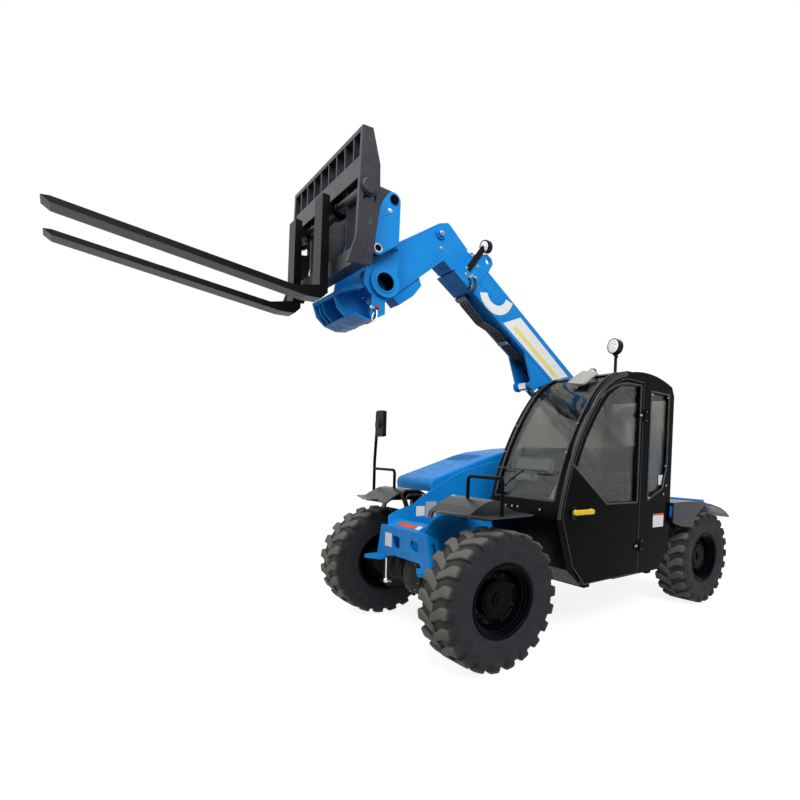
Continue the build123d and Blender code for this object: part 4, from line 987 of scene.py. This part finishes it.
def makeBoomTrim():
    onBoom("blankBanner", [film(boomTrim["banner"], 0.2)], "white_vinyl")
    onBoom("bannerStripe", [film(boomTrim["stripe"], 0.9)], "yellow_vinyl")
    arc = boomTrim["arc"]
    angle = np.radians(np.linspace(arc["from"], arc["to"], 40))
    ring = np.stack([np.cos(angle), np.sin(angle)], 1)
    onBoom("angleArc", [film(np.vstack([ring * arc["outer"], ring[::-1] * arc["inner"]]) + arc["centre"], 0.2)],
           "white_vinyl")
    # bolts of the collar's side, of the clips under the boom and of the collar's top
    sideSpots = ((582, -18), (562, -60), (518, -28), (522, 68), (470, -90), (600, 90))
    screws = bolts([(s, 118, n) for s, n in sideSpots], yAxis, 8)
    screws += bolts([(s, y, -143) for s in (-1383, -933, -43) for y in (-62, 50)], (0, 0, -1), 7)
    screws += bolts([(s, y, 123) for y in (-75, 75) for s in (545, 585)], zAxis, 8)
    onBoom("collarBolts", screws, "zinc_bolt")
    seams = [tube([(458, 110, -7), (225, 110, -9)], 2.2, 0, 8)]
    seams += [tube([(-1500, y, -104), (440, y, -104)], boomTrim["seamRadius"], 0, 8) for y in (110, -110)]
    onBoom("boomWeldSeams", seams, "blue_paint")
    # hoses from the collar's fittings round the lug and back under the boom
    lines = ([(500, 134, -30), (470, 142, -60), (455, 138, -110), (462, 120, -136)],
             [(530, 134, -62), (505, 146, -95), (490, 138, -128), (486, 118, -140)])
    onBoom("collarHoses", [tube(line, boomTrim["hoseRadius"], 3) for line in lines], "hose_rubber")
    onBoom("collarHoseEnds", [turned([(0, 11), (14, 11), (15, 9), (26, 9), (27, 7)], (line[0][0], 118, line[0][2]),
                                     (-0.1, 1, -0.1), 6) for line in lines], "zinc_bolt")


crossTube = {"x": 1617, "z": 2308, "leftEnd": 168, "rightEnd": -368}


def makeNeckTrim():
    # turned end rings of the cross tube and a black sleeve in its bore that is painted shade, the neck's boss bolts and
    # its weld seams
    x, z = crossTube["x"], crossTube["z"]
    ring = [(-3, 66.2), (2, 66.2), (3, 64), (3, 56), (1, 54.2), (-3, 54.2)]
    piece("crossTubeRings", [turned(ring, (x, crossTube["leftEnd"], z), yAxis, 64, True),
                             turned(ring, (x, crossTube["rightEnd"], z), (0, -1, 0), 64, True)], "blue_paint", "telescope")
    # black sleeve lining the open tube's bore: painted shade for the dark inside of the tube
    boreShadeSleeve = turned([(0, 53.9), (524, 53.9), (524, 52.4), (0, 52.4)], (x, 162, z), (0, -1, 0), 64, True)
    piece("crossTubePaintedShade", [boreShadeSleeve], "black_paint", "telescope")
    piece("neckBolts", bolts([(1142, 18, 2812)], yAxis, 13) + bolts([(1142, -218, 2812)], (0, -1, 0), 13)
          + bolts([(1128, -10, 2718)], yAxis, 9), "zinc_bolt", "telescope")
    piece("neckWeldSeams", [tube([(1165, -10, 2868), (1455, -10, 2632), (1640, -10, 2420)], 2.5, 1, 8),
                            tube([(1130, -10, 2660), (1400, -10, 2390)], 2.5, 0, 8)], "blue_paint", "telescope")


# the coupler's ear plate round its hook and lock pins, as (x, z); its lynch pin; the carriage's fork shaft
ear = {"face": 206, "thick": 10, "hook": (1600, 2795), "hookRadius": 44, "lock": (1695, 2475), "lockRadius": 39}
lynchPin = {"x": 1676, "y": 175, "z": 2136, "radius": 9, "ringRadius": 4.5}
forkShaft = {"x": 1855, "z": 2690, "stopsY": (20, -445), "stopReach": 40.92}


def makeToolTrim():
    def roundEnd(pin, radius, low, high, count):
        angle = np.radians(np.linspace(low, high, count))
        return pin + radius * np.stack([-np.cos(angle), np.sin(angle)], 1)
    face = ear["face"] + ear["thick"]
    hook, lock = ((x, face, z) for x, z in (ear["hook"], ear["lock"]))
    outline = np.vstack([[(1560, 2540)], roundEnd(ear["hook"], ear["hookRadius"], 0, 155, 14),
                         [(1672, 2760), (1719, 2615), (1733, 2490)], roundEnd(ear["lock"], ear["lockRadius"], 200, 320, 10)])
    plate = slabOf(outline, (0, ear["face"], 0), *planes["xz"], -ear["thick"])
    piece("couplerEar", [plate], "blue_paint", "tool", bevel=2)
    weld = sideLine([(1622, 2706), (1690, 2660), (1716, 2580), (1722, 2515)], face)
    piece("earWeld", [tube(weld, 3, 3, 8)], "blue_paint", "tool")
    piece("toolPinHeads", [turned([(-4, 26), (12, 26), (15, 22)], hook, yAxis, 32),
                           turned([(-4, 18), (5, 18), (6, 15)], lock, yAxis, 32)],
          "black_paint", "tool", smooth=30)
    bright = [turned([(-4, 27), (6, 27), (8, 24), (8, 19), (-4, 19)], lock, yAxis, 40, True)]
    bright += bolts([(1622, face, 2722)], yAxis, 9) + bolts([(1692, 145, 2141)], yAxis, 7)
    piece("toolPinCaps", bright, "chrome_rod", "tool", smooth=30)
    # lynch pin with its red knob and hanging ring
    x, y, z = (lynchPin[k] for k in "xyz")
    hanging = [(x, y + 3, z - 8), (x - 4, y + 7, z - 46), (x + 8, y + 7, z - 78), (x + 24, y + 7, z - 86),
               (x + 30, y + 7, z - 64), (x + 18, y + 7, z - 36)]
    piece("lynchPin", [tube([(x, y - 105, z), (x, y, z)], lynchPin["radius"], 0, 16),
                       tube(hanging, lynchPin["ringRadius"], 3, 10)], "chrome_rod", "tool")
    piece("lynchPinKnob", [turned([(0, 9), (4, 13), (14, 14), (22, 11), (26, 5)], (x, y, z), yAxis, 24)],
          "red_plastic", "tool")
    # collar at the shaft's end, against the carriage's left side, and a stop ring on each side of a fork
    x, z = forkShaft["x"], forkShaft["z"]
    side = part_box("fork_carriage")[1][1] * 1000 - 1
    piece("shaftCollar", [turned([(0, 40), (10, 40), (12, 37), (12, 31), (0, 31)], (x, side, z), yAxis, 40, True)],
          "carriage_black", "tool")
    piece("forkStopRings", [turned([(-7, 37), (7, 37), (9, 34), (9, 30.5), (-7, 30.5)],
                                   (x, y + edge * forkShaft["stopReach"], z), yAxis, 36, True)
                            for y in forkShaft["stopsY"] for edge in (-1, 1)], "fork_steel", "tool")


slopeUp = np.array((-80, 0, 49)) / np.linalg.norm((-80, 0, 49))
# bare labels: centre, size with corner, plane, thickness, look and, where it isn't blue_paint, the slot
labels = {
    "whiteLabel": ((1105, -234.6, 838), (70, 74, 3), "backward xz", 0.7, "white_vinyl"),
    "greyLabel": ((1016, -234.6, 848), (92, 118, 3), "backward xz", 0.7, "grey_vinyl"),
    "smallLabel": ((816, -234.6, 946), (44, 14, 3), "backward xz", 0.7, "white_vinyl"),
    "crossPlateLabel": ((1370.2, -200, 652), (100, 96, 3), "yz", 0.7, "white_vinyl"),
    "slopeLabelOrange": ((1333, -10, 771.5), (250, 36, 6), (yAxis, slopeUp), 0.7, "orange_vinyl"),
    "slopeLabelWhite": ((1333, 150, 771.5), (54, 36, 6), (yAxis, slopeUp), 0.7, "white_vinyl"),
    "panelLabelWhite": ((-410, 860.4, 800), (150, 108, 4), "backward xz", 0.7, "white_vinyl", "black_paint"),
    "panelLabelBand": ((-410, 861.2, 847), (150, 14, 3), "backward xz", 0.5, "orange_vinyl", "black_paint"),
    "paneLabel": ((-452, 840.6, 1125), (62, 80, 4), "backward xz", 0.5, "white_vinyl", "cab_glass"),
}


def makeLabels():
    for name, (centre, size, plane, thick, look, *slot) in labels.items():
        piece(name, [panel(size, centre, plane, thick)], look)


frontHose = {"y": -270, "firstX": 1194, "gap": 32}


def makeChassisTrim():
    black = []
    for y in (438, 528):
        for x in (1060, 1290):
            black += bolts([(x, side * y, 917) for side in (1, -1)], zAxis, 7)
    piece("fenderBolts", black, "black_paint", smooth=30)
    screws = []
    for x, z in ((-900, 700), (-900, 900), (-1250, 640)):
        screws += bolts([(x, 145, z)], yAxis, 12) + bolts([(x, -255, z)], (0, -1, 0), 12)
    screws += bolts([(-1800, y, z) for y in (-400, 400) for z in (520, 780)], (-1, 0, 0), 16)
    piece("chassisBolts", screws, "zinc_bolt")
    # flame-cut edge bead along the nose
    line = sideLine([(1318, 766), (1290, 798), (1262, 827), (1215, 851), (1160, 863), (840, 863)], 205)
    piece("noseEdgeBead", [carried(filled(line, 30), circle(6, 8), yAxis)], "blue_paint")
    # pin with its bright ball, hanging in front of the axle
    x, y = 1360, -240
    ball = turned([(-19, 6), (-16, 12), (-9, 17), (0, 19), (9, 17), (16, 12), (19, 6)], (x, y, 354), zAxis, 28)
    piece("towPinBright", [tube([(x, y, 515), (x, y, 372)], 7.5, 0, 16), ball], "chrome_rod")
    # crimped ends of the two front hoses
    ends = []
    for x in (frontHose["firstX"], frontHose["firstX"] - frontHose["gap"]):
        ends.append(turned([(0, 12), (34, 12), (36, 10)], (x, frontHose["y"], 660), zAxis, 20))
        ends.append(turned([(36, 11), (54, 11), (56, 9)], (x, frontHose["y"], 640), zAxis, 6))
    piece("frontHoseEnds", ends, "zinc_bolt")
    piece("sillTrim", [panel((420, 24, 6), (-60, 845, 398), "xy", 4)], "moulded_plastic")


axleTrim = {
    "coverY": -20,
    "coverScrews": 10,
    "screwCircle": 106,
    "ribs": (-340, -300, -260, 220, 260, 300),
    "collarY": 375,
    "hoseRadius": 8,
}


def makeAxleTrim():
    # cover, ribs and collars of the cast axles, their screws, and the hoses of the steering cylinders
    for end, out in (("front", 1), ("rear", -1)):
        x, z = machine["axleX"][end], machine["axleZ"]
        facing = (out, 0, 0)
        y = axleTrim["coverY"]
        cast = [turned([(0, 118), (10, 118), (16, 100), (30, 72), (36, 40)], (x + out * 100, y, z), facing, 40)]
        cast += [turned([(-6, 84), (-5, 92), (5, 92), (6, 84)], (x, rib, z), yAxis, 36) for rib in axleTrim["ribs"]]
        cast += [turned([(-30, 86), (-20, 104), (20, 110), (34, 96)], (x, side * axleTrim["collarY"], z),
                        (0, side, 0), 36) for side in (-1, 1)]
        piece(f"axleCoverAndRibs_{end}", cast, "cast_axle", bevel=2)
        cover = ringSpots((x + out * 104, y, z), axleTrim["coverScrews"], axleTrim["screwCircle"], 0.0, yAxis)
        screws = bolts(cover, facing, 8)
        screws += bolts([(x + out * 66, side, z + level) for side in (-408, 408) for level in (-120, 120)], facing, 9)
        piece(f"axleScrews_{end}", screws, "zinc_bolt")
        cx = x - out * 150
        piece(f"steeringHoses_{end}", [
            tube([(cx, ys[0], z + 36), (cx, ys[1], z + 90), (cx - out * 20, ys[2], z + 150),
                  (cx - out * 10, ys[3], z + 220)], axleTrim["hoseRadius"], 3)
            for ys in ((-230, -235, -200, -150), (230, 235, 190, 100))], "hose_rubber")


# the hood's sloping top as (x, z) at its two ends, and its grille's louvres
hoodTrim = {
    "slopeHigh": (454, 1263),
    "slopeLow": (1002, 1066),
    "grilleX": 480,
    "bars": 24,
    "firstBar": -812,
    "barGap": 16.3,
}


def makeHoodTrim():
    # dark louvres over a dark mesh in the hood's top, and the catch on its side
    (highX, highZ), (lowX, lowZ) = hoodTrim["slopeHigh"], hoodTrim["slopeLow"]
    slope = math.atan2(highZ - lowZ, lowX - highX)
    down = np.array((math.cos(slope), 0, -math.sin(slope)))
    x = hoodTrim["grilleX"]
    z = lowZ + (lowX - x) * math.tan(slope) - 16
    bars = [panel((150, 3), (x, hoodTrim["firstBar"] + index * hoodTrim["barGap"], z), (down, yAxis), 2)
            for index in range(hoodTrim["bars"])]
    bars.append(panel((156, 396, 4), (x, -622, z - 7), (down, yAxis), 2))
    piece("hoodGrilleMesh", bars, "black_paint", "hood")
    piece("hoodSideCatch", [panel((110, 26, 10), (820, -864, 1000), "xz", 3)], "moulded_plastic", "hood", bevel=1)


stages = {
    "stage": (makeWorld, makeStage, makeCamera),
    "materials": (makeMaterials,),
    "wheels": (makeWheels,),
    "cab": (makeSeat, makeInterior, makeSeals, makeFrontTube, makeDoorEdge, makeCabDetails, makeTowerHoses,
            makeWiper, makeHandle),
    "boom and tool": (makeLamps, makeMirrors, makeBoomTrim, makeNeckTrim, makeToolTrim),
    "chassis and hood": (makeLabels, makeChassisTrim, makeAxleTrim, makeHoodTrim),
}
for name, steps in stages.items():
    for step in steps:
        step()
    print("scene:", name, flush=True)

scene = bpy.context.scene
scene.view_settings.view_transform = "Standard"
